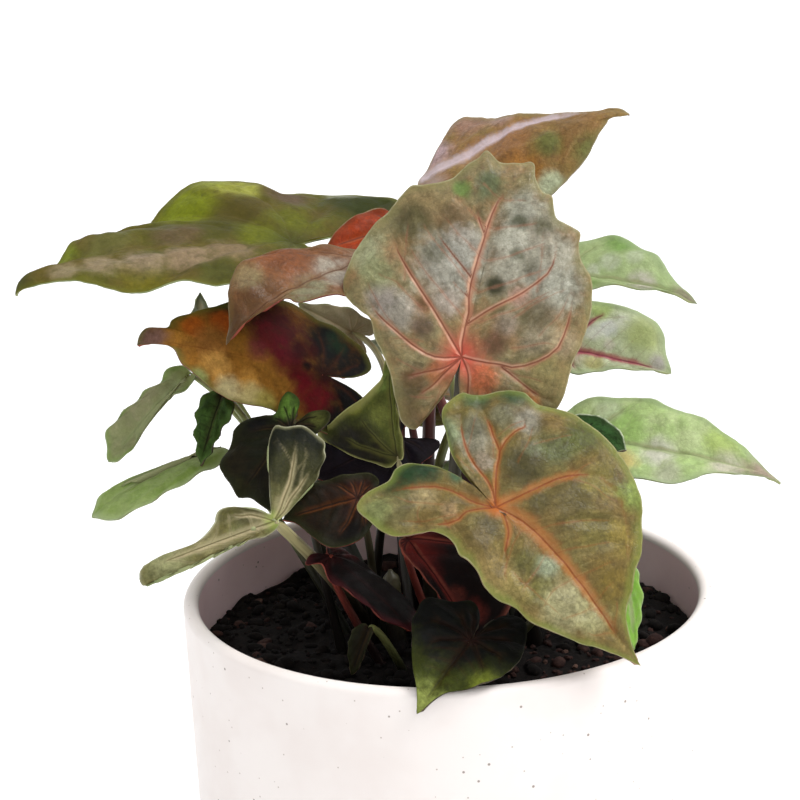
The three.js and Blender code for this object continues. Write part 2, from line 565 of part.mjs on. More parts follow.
// Points round the whole edge of the flat leaf: out along the right half, back along the left.
function edgeOf(leaf) {
  const half = (outline, side) => {
    const points = outline.map(([degrees, reach, lift = 0]) => {
      const turn = THREE.MathUtils.degToRad(degrees);
      return new THREE.Vector3(side * reach * Math.sin(turn), reach * Math.cos(turn), lift);
    });
    return new THREE.CatmullRomCurve3(points, false, "catmullrom", 0.5).getSpacedPoints(leaf.spokes);
  };
  return [...half(leaf.right, 1), ...half(leaf.left, -1).slice(1, -1).reverse()];
}

// A closed blade: rings of points from the junction out to the edge, on two faces split alike.
function makeBlade(leaf) {
  const shape = bladeShape(leaf);
  const edge = edgeOf(leaf);
  const middle = [shape(0, 0, 0)];
  for (let ring = 1; ring <= leaf.rings; ring += 1) {
    const share = ring / leaf.rings;
    edge.forEach(({ x, y, z }) => middle.push(shape(share * x, share * y, share * share * z)));
  }
  const faces = [];
  const at = (ring, spoke) => (ring === 0 ? 0 : 1 + (ring - 1) * edge.length + (spoke % edge.length));
  for (let ring = 0; ring < leaf.rings; ring += 1) {
    for (let spoke = 0; spoke < edge.length; spoke += 1) {
      faces.push([at(ring, spoke), at(ring + 1, spoke + 1), at(ring + 1, spoke)]);
      if (ring > 0) faces.push([at(ring, spoke), at(ring, spoke + 1), at(ring + 1, spoke + 1)]);
    }
  }
  const sheet = new THREE.BufferGeometry().setFromPoints(middle);
  sheet.setIndex(faces.flat());
  sheet.computeVertexNormals();
  const normals = sheet.getAttribute("normal");
  const offset = (sign) =>
    middle.map((point, i) => {
      const normal = new THREE.Vector3().fromBufferAttribute(normals, i);
      return point.clone().addScaledVector(normal, (sign * BLADE_THICKNESS) / 2);
    });
  const count = middle.length;
  const under = faces.map(([a, b, c]) => [a + count, c + count, b + count]);
  const wall = [];
  for (let spoke = 0; spoke < edge.length; spoke += 1) {
    const [a, b] = [at(leaf.rings, spoke), at(leaf.rings, spoke + 1)];
    wall.push([a, b, a + count], [b, b + count, a + count]);
  }
  const closed = new THREE.BufferGeometry().setFromPoints([...offset(1), ...offset(-1)]);
  closed.setIndex([...faces, ...under, ...wall].flat());
  return solidOf(closed);
}

function stalkRod({ foot, rise, arrive, junction, radius }) {
  const low = new THREE.Vector3(...foot, SOIL_LEVEL - ROOTED);
  const path = new THREE.CubicBezierCurve3(low, vector(rise), vector(arrive), vector(junction));
  return { path, steps: STALK_STEPS, from: radius, to: STALK_TAPER * radius, late: SOIL_GAP };
}

// ---------------------------------------------------------------- the plant
const leaves = LEAVES.map((leaf) => ({ ...DEFAULTS, ...leaf }));
const holes = [...STEMS.map(stemRod), ...leaves.map(stalkRod)].map(holeOf);

const plant = new THREE.Group();
plant.add(part("pot", makePot(), 0xefe8e1, 0.55));
plant.add(part("soil", makeSoil(holes), 0x1d1512, 0.95));
STEMS.forEach((stem) => plant.add(part(stem.name, tube(stemRod(stem)), 0x6b6a44, 0.6)));
leaves.forEach((leaf) => {
  plant.add(part(leaf.name, makeBlade(leaf).add(tube(stalkRod(leaf))), leaf.colour, 0.45));
});

export default plant;
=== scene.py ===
"""The looks of a potted arrowhead plant: veined leaves on slender stalks, crumbly soil and a speckled pot.

Sizes are in millimetres and turned to metres where a mesh is written. The frame is the CAD model's: the
origin is the centre of the pot's underside, +Z is up and -Y is the plant's front.
"""

import logging
import math
from collections.abc import Callable
from dataclasses import dataclass, replace
from enum import Enum
from random import Random

import bmesh
import bpy
import numpy as np
from bpy.types import Material, Mesh, Node, NodeTree, World
from mathutils import Matrix, Vector, noise


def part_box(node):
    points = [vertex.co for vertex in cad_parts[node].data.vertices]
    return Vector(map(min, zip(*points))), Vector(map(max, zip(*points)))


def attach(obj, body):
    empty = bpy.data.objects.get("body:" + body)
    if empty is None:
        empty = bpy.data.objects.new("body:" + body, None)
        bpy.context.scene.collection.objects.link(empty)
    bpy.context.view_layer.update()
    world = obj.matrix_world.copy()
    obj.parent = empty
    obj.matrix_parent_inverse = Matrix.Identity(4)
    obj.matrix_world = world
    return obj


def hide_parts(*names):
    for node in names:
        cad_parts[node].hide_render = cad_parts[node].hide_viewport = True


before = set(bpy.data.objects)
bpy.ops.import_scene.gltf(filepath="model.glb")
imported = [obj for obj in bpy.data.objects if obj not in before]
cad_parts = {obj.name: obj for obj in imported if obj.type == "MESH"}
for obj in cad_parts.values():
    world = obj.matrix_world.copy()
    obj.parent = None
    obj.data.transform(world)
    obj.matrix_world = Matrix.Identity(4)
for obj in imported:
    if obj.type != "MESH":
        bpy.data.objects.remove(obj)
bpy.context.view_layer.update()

log = logging.getLogger("potted_plant")

MM = 0.001
Point = tuple[float, float, float]
Spot = tuple[float, float]
Outline = tuple[tuple[float, ...], ...]
Patch = tuple[float, float, float, str, float]
Array = np.ndarray
Socket = bpy.types.NodeSocket

SAME_PLACE = 1e-7  # metres
CURVE_SAMPLES = 1601
LEAF_MAP = "leaf_map"
NERVES = "nerves"
STAINS = "stains"

SOIL_LEVEL = 110.0
SOIL_GAP = 0.3  # between the soil and the pot's wall
ROOTED = 11.0  # how deep stalks and stems stand in the soil


# ---- small tools


def linear(colour: str) -> tuple[float, float, float, float]:
    """Turns an sRGB hex colour to linear light.

    Args:
        colour: The colour, such as "#8a7a62".

    Returns:
        Red, green, blue and an alpha of 1.
    """
    shares = [int(colour[i : i + 2], 16) / 255 for i in (1, 3, 5)]
    light = [s / 12.92 if s <= 0.04045 else ((s + 0.055) / 1.055) ** 2.4 for s in shares]
    return (*light, 1.0)


def unit(vector: Array) -> Array:
    """Returns the vector at length 1."""
    return vector / np.linalg.norm(vector)


def smooth(low: float, high: float, value: Array) -> Array:
    """Returns 0 below low, 1 above high and a smooth ramp between them."""
    share = np.clip((value - low) / (high - low), 0, 1)
    return share * share * (3 - 2 * share)


def spaced(points: Array, count: int) -> Array:
    """Places points evenly along a smooth curve.

    Args:
        points: What the curve passes through, one row a point.
        count: How many stretches the curve is cut into.

    Returns:
        count + 1 points.
    """
    last = len(points) - 1
    padded = np.vstack([2 * points[0] - points[1], points, 2 * points[-1] - points[-2]])

    def at(share: Array) -> Array:
        """Finds points of the curve.

        Args:
            share: How far along each point is, from 0 to 1.

        Returns:
            One row a point.
        """
        place = np.clip(share, 0, 1) * last
        i = np.minimum(place.astype(int), last - 1)
        w = (place - i)[:, None]
        before, start, end, after = (padded[i + k] for k in range(4))
        out, into = (end - before) / 2, (after - start) / 2
        cubic = 2 * start - 2 * end + out + into
        square = 3 * end - 3 * start - 2 * out - into
        return ((cubic * w + square) * w + out) * w + start

    shares = np.linspace(0, 1, CURVE_SAMPLES)
    steps = np.linalg.norm(np.diff(at(shares)[:, :2], axis=0), axis=1)
    walked = np.concatenate([[0], np.cumsum(steps)])
    return at(np.interp(np.linspace(0, walked[-1], count + 1), walked, shares))


def bumps(points: Array, grain: float, seed: float = 0.0) -> Array:
    """Samples smooth noise, from about -1 to 1.

    Args:
        points: Places in millimetres, one row a point.
        grain: The size of a bump in millimetres.
        seed: Shifts the pattern.

    Returns:
        One value a point.
    """
    shift = Vector((seed, 2.3 * seed, 5.1 * seed))
    return np.array([noise.noise(Vector(p) / grain + shift) for p in points])


def grid_mesh(name: str, columns: int, rows: int) -> tuple[Mesh, Array, Array]:
    """Makes a flat grid to be shaped.

    Args:
        name: The mesh's name.
        columns: Faces across.
        rows: Faces along.

    Returns:
        The mesh, each vertex's place across from -1 to 1, and along from 0 to 1.
    """
    bm = bmesh.new()
    bmesh.ops.create_grid(bm, x_segments=columns, y_segments=rows, size=1.0)
    mesh = bpy.data.meshes.new(name)
    bm.to_mesh(mesh)
    bm.free()
    flat = read_points(mesh)
    return mesh, flat[:, 0], (flat[:, 1] + 1) / 2


def read_points(mesh: Mesh) -> Array:
    """Reads where a mesh's points are.

    Args:
        mesh: The mesh.

    Returns:
        The points, one row each.
    """
    flat = np.empty(3 * len(mesh.vertices))
    mesh.vertices.foreach_get("co", flat)
    return flat.reshape(-1, 3)


def write_points(mesh: Mesh, points: Array) -> None:
    """Places a mesh's points, given in millimetres."""
    mesh.vertices.foreach_set("co", (points * MM).ravel())
    mesh.update()


def write_map(mesh: Mesh, places: Array) -> None:
    """Gives a mesh the UV map that its material reads.

    Args:
        mesh: The mesh.
        places: A pair of numbers for each vertex.
    """
    corners = np.empty(len(mesh.loops), int)
    mesh.loops.foreach_get("vertex_index", corners)
    layer = mesh.uv_layers.new(name=LEAF_MAP)
    layer.uv.foreach_set("vector", places[corners].ravel())


def close_up(mesh: Mesh, outward: Callable[[bmesh.types.BMesh], bool] | None = None) -> None:
    """Merges the points that a wrapped grid brings together, and fills its open ends.

    Args:
        mesh: The mesh to close.
        outward: Says whether the faces already point the right way; without it they are recalculated
            and the ends are filled.
    """
    bm = bmesh.new()
    bm.from_mesh(mesh)
    bmesh.ops.remove_doubles(bm, verts=bm.verts, dist=SAME_PLACE)
    bm.normal_update()
    if outward is None:
        bmesh.ops.holes_fill(bm, edges=bm.edges)
        bmesh.ops.recalc_face_normals(bm, faces=bm.faces)
    elif not outward(bm):
        bmesh.ops.reverse_faces(bm, faces=bm.faces)
    for face in bm.faces:
        face.smooth = True
    bm.to_mesh(mesh)
    bm.free()


def place_piece(mesh: Mesh, materials: list[Material], slot: str, *nodes: str) -> None:
    """Puts a finished mesh in the scene under the root, gives it its materials and hides the CAD nodes it
    replaces.

    Args:
        mesh: The mesh, in place.
        materials: What its faces wear.
        slot: The material slot; it is not used.
        nodes: The CAD nodes that it replaces.
    """
    piece = bpy.data.objects.new(mesh.name, mesh)
    bpy.context.scene.collection.objects.link(piece)
    for spot, material in enumerate(materials):
        if spot < len(mesh.materials):
            mesh.materials[spot] = material
        else:
            mesh.materials.append(material)
    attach(piece, "root")
    if nodes:
        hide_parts(*nodes)
    log.info("%s: %d faces", piece.name, len(mesh.polygons))


# ---- finishes

# The sockets of a Mix node that blends colours.
MIX_SHARE, MIX_UNDER, MIX_OVER, MIX_RESULT = 0, 6, 7, 2


def add_node(
    tree: NodeTree, kind: str, inputs: dict | None = None, **settings: object
) -> Node:
    """Adds a node.

    Args:
        tree: What it is added to.
        kind: Blender's name for the node.
        inputs: What each input gets, by name or number: a socket to link or a value.
        settings: The node's own settings.

    Returns:
        The node.
    """
    made = tree.nodes.new(kind)
    for name, value in settings.items():
        setattr(made, name, value)
    for key, value in (inputs or {}).items():
        if isinstance(value, bpy.types.NodeSocket):
            tree.links.new(value, made.inputs[key])
        else:
            made.inputs[key].default_value = value
    return made


class Shader:
    """One material under construction. Its colour is laid on in coats, each over what is there.

    A share is a socket or a number from 0, where nothing of a coat shows, to 1, where all of it does.
    """

    def __init__(self, name: str, ground: str) -> None:
        """Starts a material.

        Args:
            name: The material's name.
            ground: The first coat's colour.
        """
        self.material = bpy.data.materials.new(name)
        self.material.use_nodes = True
        self.tree = self.material.node_tree
        self.tree.nodes.clear()
        self.colour: Socket | tuple[float, ...] = linear(ground)

    def add(self, kind: str, inputs: dict | None = None, **settings: object) -> Node:
        """Adds a node to this material, as add_node does."""
        return add_node(self.tree, kind, inputs, **settings)

    def coat(self, colour: str, share: Socket | float) -> None:
        """Lays a colour, in hex, over what is there, with the share of it that shows."""
        inputs = {MIX_SHARE: share, MIX_UNDER: self.colour, MIX_OVER: linear(colour)}
        self.colour = self.add("ShaderNodeMix", inputs, data_type="RGBA").outputs[MIX_RESULT]

    def tone(self, factor: float, share: Socket | float) -> None:
        """Makes what is there lighter or darker.

        Args:
            factor: What the colour is multiplied by.
            share: How much of that shows.
        """
        scaled = self.add("ShaderNodeVectorMath", {0: self.colour, "Scale": factor}, operation="SCALE")
        inputs = {MIX_SHARE: share, MIX_UNDER: self.colour, MIX_OVER: scaled.outputs[0]}
        self.colour = self.add("ShaderNodeMix", inputs, data_type="RGBA").outputs[MIX_RESULT]

    def ramp(self, value: Socket, low: float, high: float, start: float = 0.0, end: float = 1.0) -> Socket:
        """Turns a stretch of a value into a smooth share.

        Args:
            value: What is read. The patterns below lie mostly between 0.3 and 0.7.
            low: Where the stretch starts.
            high: Where it ends. It may be less than low.
            start: The share up to low.
            end: The share from high on.

        Returns:
            The share.
        """
        inputs = {"Value": value, "From Min": low, "From Max": high, "To Min": start, "To Max": end}
        made = self.add("ShaderNodeMapRange", inputs, interpolation_type="SMOOTHSTEP")
        return made.outputs["Result"]

    def both(self, first: Socket, second: Socket) -> Socket:
        """Returns the share to which two shares hold at once."""
        return self.add("ShaderNodeMath", {0: first, 1: second}, operation="MULTIPLY").outputs[0]

    def ragged(self, value: Socket, pattern: Socket, push: float) -> Socket:
        """Returns a value with a pattern added, so that what is drawn along it gets a ragged outline."""
        inputs = {0: pattern, 1: push, 2: value}
        return self.add("ShaderNodeMath", inputs, operation="MULTIPLY_ADD").outputs[0]

    def beside(self, line: Socket, offset: float = 0.0) -> Socket:
        """Measures how far a place is from a line that runs beside a vein.

        Args:
            line: The signed distance from the vein in millimetres.
            offset: How far from the vein the line runs.

        Returns:
            The distance in millimetres.
        """
        shifted = line
        if offset:
            shifted = self.add("ShaderNodeMath", {0: line, 1: offset}, operation="SUBTRACT").outputs[0]
        return self.add("ShaderNodeMath", {0: shifted}, operation="ABSOLUTE").outputs[0]

    def clouds(self, size: float, detail: float = 3.0, rough: float = 0.6, seed: float = 0.0) -> Socket:
        """Makes a blotchy pattern that is fixed to the piece.

        Args:
            size: The size of its blotches in millimetres.
            detail: How many finer layers it holds.
            rough: How strong the finer layers are.
            seed: Shifts the pattern.

        Returns:
            A socket, from 0 to 1 and mostly near 0.5.
        """
        place = self.add("ShaderNodeTexCoord").outputs["Object"]
        inputs = {"Vector": place, "W": seed, "Scale": 1 / (size * MM), "Detail": detail, "Roughness": rough}
        return self.add("ShaderNodeTexNoise", inputs, noise_dimensions="4D").outputs["Fac"]

    def cracks(self, size: float) -> Socket:
        """Makes a net of fine lines round cells that noise pulls out of shape.

        Args:
            size: The size of a cell in millimetres.

        Returns:
            A socket, 0 on the net's lines.
        """
        place = self.add("ShaderNodeTexCoord").outputs["Object"]
        inputs = {"Vector": place, "Scale": 1 / (1.4 * size * MM), "Detail": 2.0}
        wander = self.add("ShaderNodeTexNoise", inputs).outputs["Color"]
        pull = {0: wander, 1: (1.6 * size * MM,) * 3, 2: place}
        pulled = self.add("ShaderNodeVectorMath", pull, operation="MULTIPLY_ADD").outputs["Vector"]
        inputs = {"Vector": pulled, "Scale": 1 / (size * MM)}
        return self.add("ShaderNodeTexVoronoi", inputs, feature="DISTANCE_TO_EDGE").outputs["Distance"]

    def fibres(self, across: Socket, along: Socket, seed: float) -> Socket:
        """Makes a pattern that is drawn out along the veins.

        Args:
            across: The distance from the nearest vein in millimetres.
            along: What changes along the veins, in millimetres.
            seed: Shifts the pattern.

        Returns:
            A socket, from 0 to 1 and mostly near 0.5.
        """
        aside = self.beside(across)
        drawn = self.add("ShaderNodeMath", {0: along, 1: 0.16}, operation="MULTIPLY").outputs[0]
        place = self.add("ShaderNodeCombineXYZ", {0: aside, 1: drawn, 2: seed}).outputs[0]
        inputs = {"Vector": place, "Scale": 1.3, "Detail": 3.0, "Roughness": 0.6}
        return self.add("ShaderNodeTexNoise", inputs).outputs["Fac"]

    def dress(
        self,
        bump: Socket,
        depth: float,
        rough: Socket | float,
        gloss: float = 0.5,
        through: str = "",
        share: float = 0.0,
    ) -> None:
        """Finishes the material.

        Args:
            bump: The fine relief.
            depth: The relief's depth in millimetres.
            rough: The roughness.
            gloss: The specular level.
            through: The colour of the light that shines through, if any does.
            share: How much of the light goes through.
        """
        relief = self.add("ShaderNodeBump", {"Height": bump, "Distance": depth * MM, "Strength": 1.0})
        inputs = {"Base Color": self.colour, "Roughness": rough, "Normal": relief.outputs[0]}
        inputs["Specular IOR Level"] = gloss
        surface = self.add("ShaderNodeBsdfPrincipled", inputs).outputs[0]
        if through:
            inputs = {MIX_SHARE: 0.5, MIX_UNDER: self.colour, MIX_OVER: linear(through)}
            tint = self.add("ShaderNodeMix", inputs, data_type="RGBA").outputs[MIX_RESULT]
            glow = self.add("ShaderNodeBsdfTranslucent", {"Color": tint}).outputs[0]
            surface = self.add("ShaderNodeMixShader", {0: share, 1: surface, 2: glow}).outputs[0]
        self.add("ShaderNodeOutputMaterial", {"Surface": surface})


class Underside(Enum):
    """The lower skins of the blades: their colour and their veins' colour."""

    GREEN = ("#8b9666", "#a9ad7e")
    BROWN = ("#8a7459", "#a8876a")
    RED = ("#75382f", "#9a4a38")
    DARK = ("#3c3a2c", "#5a4a38")

    def material(self) -> Material:
        """Makes the lower skin, or finds it again once it is made.

        Returns:
            The material.
        """
        name = f"leaf_underside_{self.name.lower()}"
        if name in bpy.data.materials:
            return bpy.data.materials[name]
        # A lower skin has hardly any wax, so it looks duller and more even than the upper one. Its veins
        # stand out in a paler colour, and light from the other side glows through.
        body, vein = self.value
        shader = Shader(name, body)
        nerves = shader.add("ShaderNodeAttribute", attribute_name=NERVES).outputs["Vector"]
        main, side, _ = shader.add("ShaderNodeSeparateXYZ", {0: nerves}).outputs
        shader.coat(vein, shader.ramp(shader.clouds(7.0), 0.4, 0.7, 0.0, 0.35))
        shader.coat(vein, shader.ramp(shader.beside(side), 0.2, 0.6, 0.5, 0.0))
        shader.coat(vein, shader.ramp(shader.beside(main), 0.5, 1.2, 0.85, 0.0))
        shader.dress(shader.clouds(0.9, 2.0), depth=0.12, rough=0.6, gloss=0.25, through=vein, share=0.25)
        return shader.material


@dataclass(frozen=True)
class LeafFinish:
    """The skin of a living leaf: a satin cuticle over coloured cells, which lets some light through.

    To the eye that is a soft broad gloss over colour that changes in blotches, in fine specks and by region,
    and that pales at the rim. Each vein is a soft stain with a fine dark crease in it, partly painted shade in
    its groove, and beside that a painted highlight where its ridge catches the light. Patches hold the leaf's
    own colours and painted light too: near-black ones are painted shade where a leaf lies in shadow, and pale
    silvery ones are partly painted sheen. Sizes are in millimetres, apart from glow_size, which is a share of
    the leaf's length. A patch is given by its place across and along and its radius, also as shares, then its
    colour and its strength.
    """

    body: str
    blotch: str
    shade: str
    bloom: str
    rim: str
    stain: str
    crease: str
    glow: str
    under: Underside = Underside.GREEN
    edge: str = "#b9bd95"
    edge_share: float = 0.55
    blotch_size: float = 9.0
    blotch_share: float = 0.7
    speck_share: float = 0.45
    rim_width: float = 1.6
    rim_share: float = 0.6
    glow_size: float = 0.1
    stain_share: float = 0.75
    side_share: float = 0.35
    crease_share: float = 0.75
    # The ridge colour is a painted highlight beside each main vein, where its raised ridge catches the light.
    ridge_highlight: str = "#c8b090"
    ridge_highlight_share: float = 0.5
    sheen: float = 0.4
    gloss: float = 0.22
    light: str = "#b8c04a"
    light_share: float = 0.25
    patches: tuple[Patch, ...] = ()

    def upper(self, name: str, seed: float) -> Material:
        """Makes the upper face's material. Each coat lies over the ones before it.

        Args:
            name: The material's name.
            seed: Shifts its patterns.

        Returns:
            The material.
        """
        skin = UpperSkin(name, self, seed)
        skin.colour_regions()
        skin.speckle()
        skin.colour_rim()
        skin.stain_veins()
        skin.crease_veins()
        skin.pale_edge()
        skin.gloss_over()
        return skin.material


class UpperSkin(Shader):
    """The upper skin of one leaf under construction.

    Its coats read the distances in millimetres from the nearest main vein, the nearest side vein and the rim,
    how strongly a vein stains the place, and five patterns: wide, middle and fine blotches, threads along the
    veins and the net between them.
    """

    TUFT = 2.8
    GRAIN = 0.9  # bundles of cells, as a single cell is too fine to show
    NET = 1.8  # the finest veins, drawn coarser than life so that they show
    RIDGE_PLACE = 0.55
    MAIN_CREASE = 0.22
    SIDE_CREASE = 0.14

    def __init__(self, name: str, look: LeafFinish, seed: float) -> None:
        """Adds the nodes that the coats read.

        Args:
            name: The material's name.
            look: Its colours and how strong each coat is.
            seed: Shifts its patterns.
        """
        super().__init__(name, look.body)
        self.look = look
        self.place = self.add("ShaderNodeUVMap", uv_map=LEAF_MAP).outputs["UV"]
        nerves = self.add("ShaderNodeAttribute", attribute_name=NERVES).outputs["Vector"]
        self.main, self.side, self.rim = self.add("ShaderNodeSeparateXYZ", {0: nerves}).outputs
        stains = self.add("ShaderNodeAttribute", attribute_name=STAINS).outputs["Vector"]
        self.main_stain, self.side_stain, _ = self.add("ShaderNodeSeparateXYZ", {0: stains}).outputs
        self.wide = self.clouds(look.blotch_size, 4.0, 0.62, seed)
        self.middle = self.clouds(self.TUFT, 3.0, 0.6, seed + 2)
        self.fine = self.clouds(self.GRAIN, 3.0, 0.65, seed + 4)
        self.threads = self.fibres(self.side, self.rim, seed)
        self.net = self.cracks(self.NET)

    def colour_regions(self) -> None:
        """Lays on blotches, silvery bloom, patches (some painted shade and sheen) and the shade mottle."""
        look = self.look
        self.coat(look.blotch, self.ramp(self.wide, 0.4, 0.62, 0.0, look.blotch_share))
        self.coat(look.bloom, self.ramp(self.threads, 0.47, 0.3, 0.0, 0.25 * look.speck_share))
        # Besides the leaf's own colours, the patches lay painted shade and painted sheen.
        for across, along, size, colour, strength in look.patches:
            ends = {0: self.place, 1: (across, along, 0.0)}
            away = self.add("ShaderNodeVectorMath", ends, operation="DISTANCE").outputs["Value"]
            away = self.ragged(self.ragged(away, self.middle, 0.9 * size), self.wide, 0.7 * size)
            self.coat(colour, self.ramp(away, 1.25 * size, 2.3 * size, strength, 0.0))
        self.coat(look.shade, self.ramp(self.middle, 0.5, 0.68, 0.0, 0.5 * look.speck_share))

    def speckle(self) -> None:
        """Darkens and lightens the colour in tufts, threads and grain, and darkens the net."""
        specks = self.look.speck_share
        for pattern, share in ((self.middle, 0.8), (self.threads, 0.5), (self.fine, 1.1)):
            self.tone(0.6, self.ramp(pattern, 0.5, 0.66, 0.0, share * specks))
            self.tone(1.5, self.ramp(pattern, 0.48, 0.32, 0.0, share * specks))
        self.tone(0.62, self.ramp(self.net, 0.01, 0.09, 0.8 * specks, 0.0))

    def colour_rim(self) -> None:
        """Lays on the band along the rim, with a ragged inner side."""
        width = self.look.rim_width
        away = self.ragged(self.rim, self.wide, 2 * width)
        self.coat(self.look.rim, self.ramp(away, width, 2.8 * width, self.look.rim_share, 0.0))

    def stain_veins(self) -> None:
        """Stains the skin along the veins, and round the junction."""
        look, glow = self.look, self.look.glow_size
        side = self.ragged(self.side_stain, self.middle, 1.4)
        self.coat(look.stain, self.ramp(side, 0.85, 1.9, 0.0, look.side_share))
        main = self.ragged(self.ragged(self.main_stain, self.fine, 0.5), self.middle, 0.9)
        self.coat(look.stain, self.ramp(main, 0.8, 1.75, 0.0, look.stain_share))
        heart = self.add("ShaderNodeVectorMath", {0: self.place}, operation="LENGTH").outputs["Value"]
        heart = self.ragged(heart, self.middle, 0.6 * glow)
        self.coat(look.glow, self.ramp(heart, 0.3 * glow, 1.6 * glow, 0.9, 0.0))

    def crease_veins(self) -> None:
        """Draws the painted highlight beside main veins and each vein's dark crease, partly painted shade."""
        # A painted highlight on one side of each main vein, where its raised ridge catches the light.
        lit = self.ramp(self.beside(self.main, self.RIDGE_PLACE), 0.1, 0.55, 1.0, 0.0)
        lit = self.both(lit, self.ramp(self.main_stain, 0.35, 0.8, 0.0, self.look.ridge_highlight_share))
        self.coat(self.look.ridge_highlight, self.both(lit, self.ramp(self.middle, 0.35, 0.6, 0.3, 1.0)))
        # The dark line in each vein is partly its own darker colour and partly painted shade in its groove.
        side = (self.side, self.side_stain, self.SIDE_CREASE, 0.35)
        main = (self.main, self.main_stain, self.MAIN_CREASE, 1.0)
        for line, stain, width, share in (side, main):
            near = self.ramp(self.beside(line), 0.4 * width, 1.4 * width, 1.0, 0.0)
            kept = self.ramp(stain, 0.3, 0.6, 0.0, share * self.look.crease_share)
            self.coat(self.look.crease, self.both(near, kept))

    def pale_edge(self) -> None:
        """Draws the pale margin line, broken in places, partly painted highlight along the blade's edge."""
        patchy = self.ramp(self.middle, 0.35, 0.65, 0.25, 1.0)
        self.coat(self.look.edge, self.both(patchy, self.ramp(self.rim, 0.1, 0.5, self.look.edge_share, 0.0)))

    def gloss_over(self) -> None:
        """Lays the cuticle over the colour, with the fine relief of the net and the threads."""
        look = self.look
        rough = self.ramp(self.wide, 0.3, 0.7, look.sheen - 0.07, look.sheen + 0.12)
        relief = self.ragged(self.fine, self.ramp(self.net, 0.0, 0.2), 0.15)
        relief = self.ragged(relief, self.threads, 0.4)
        self.dress(relief, 0.2, rough, look.gloss, look.light, look.light_share)


class StalkKind(Enum):
    """The colours of a stalk or stem: at its foot, and where it meets the blade."""

    GREEN = ("#191c0e", "#8d9458")
    PALE = ("#1e1a10", "#9a9268")
    RED = ("#190b0a", "#8f4034")
    DARK = ("#0f0c08", "#4a4630")

    def material(self) -> Material:
        """Makes the stalk's skin, or finds it again once it is made.

        Returns:
            The material.
        """
        name = f"stalk_{self.name.lower()}"
        if name in bpy.data.materials:
            return bpy.data.materials[name]
        # A stalk is juicy under a smooth waxy skin, so a bright line of light runs along it over faint
        # streaks, 27 of them round it and each about a fifth of its length.
        foot, top = self.value
        streaks_round, streaks_along = 27.0, 5.4
        shader = Shader(name, foot)
        place = shader.add("ShaderNodeUVMap", uv_map=LEAF_MAP).outputs["UV"]
        _, along, _ = shader.add("ShaderNodeSeparateXYZ", {0: place}).outputs
        shader.coat(top, shader.ramp(along, 0.35, 0.9))
        inputs = {"Vector": place, "Scale": (streaks_round, streaks_along, 1.0)}
        stretched = shader.add("ShaderNodeMapping", inputs).outputs[0]
        inputs = {"Vector": stretched, "Scale": 1.0, "Detail": 1.0}
        streaks = shader.add("ShaderNodeTexNoise", inputs).outputs["Fac"]
        shader.coat(foot, shader.ramp(streaks, 0.45, 0.75, 0.0, 0.4))
        shader.dress(streaks, depth=0.12, rough=0.42)
        return shader.material


@dataclass(frozen=True)
class Glaze:
    """A matt off-white glaze on speckled stoneware.

    Iron specks in the clay burn through the glaze as small brown dots. The glaze has pooled a little unevenly
    in the kiln, so its colour drifts softly and the light lies on it as a broad dull gleam.
    """

    name: str
    body: str
    pooled: str

    CLOUD = 28.0
    RIPPLE = 2.2
    SPECKS = ((6.5, 0.42, "#7c6c62"), (3.4, 0.26, "#b0a298"))  # how far apart, radius and colour

    def material(self) -> Material:
        """Makes the glaze.

        Returns:
            The material.
        """
        shader = Shader(self.name, self.body)
        place = shader.add("ShaderNodeTexCoord").outputs["Object"]
        shader.coat(self.pooled, shader.ramp(shader.clouds(self.CLOUD), 0.4, 0.65, 0.0, 0.6))
        for apart, radius, colour in self.SPECKS:
            inputs = {"Vector": place, "Scale": 1 / (apart * MM), "Randomness": 1.0}
            away = shader.add("ShaderNodeTexVoronoi", inputs).outputs["Distance"]
            edge = radius / apart
            shader.coat(colour, shader.ramp(away, 0.6 * edge, edge, 0.85, 0.0))
        rough = shader.ramp(shader.clouds(12.0), 0.3, 0.7, 0.42, 0.56)
        shader.dress(shader.clouds(self.RIPPLE, 4.0, 0.55), depth=0.06, rough=rough)
        return shader.material


OUTER_GLAZE = Glaze("glazed_stoneware", "#ebe4e0", "#e3d9d4")
# The inner wall wears a pinker copy of the glaze: a painted tint for the mauve shade inside the pot, kept
# light so that the shaded wall does not go dark.
SHADE_TINTED_INNER_GLAZE = Glaze("glazed_stoneware_inside_shade_tint", "#fce2e4", "#eccdd0")


class Crumb(Enum):
    """The kinds of crumb in potting soil: two colours each, and the roughness."""

    PEAT = ("#0b0807", "#1a1310", 0.95)
    BARK = ("#2c1b18", "#4a322b", 0.85)
    FIBRE = ("#46332c", "#6a5146", 0.9)

    def material(self) -> Material:
        """Makes the crumb's material.

        Returns:
            The material.
        """
        # Moist peat drinks the light: it looks nearly black and dull, and bark and fibres a little lighter.
        dark, light, rough = self.value
        shader = Shader(f"soil_{self.name.lower()}", dark)
        shader.coat(light, shader.ramp(shader.clouds(2.5, 5.0, 0.7), 0.42, 0.7, 0.0, 0.8))
        shader.dress(shader.clouds(0.8, 4.0, 0.7), depth=0.4, rough=rough, gloss=0.2)
        return shader.material


# ---- outlines of blades

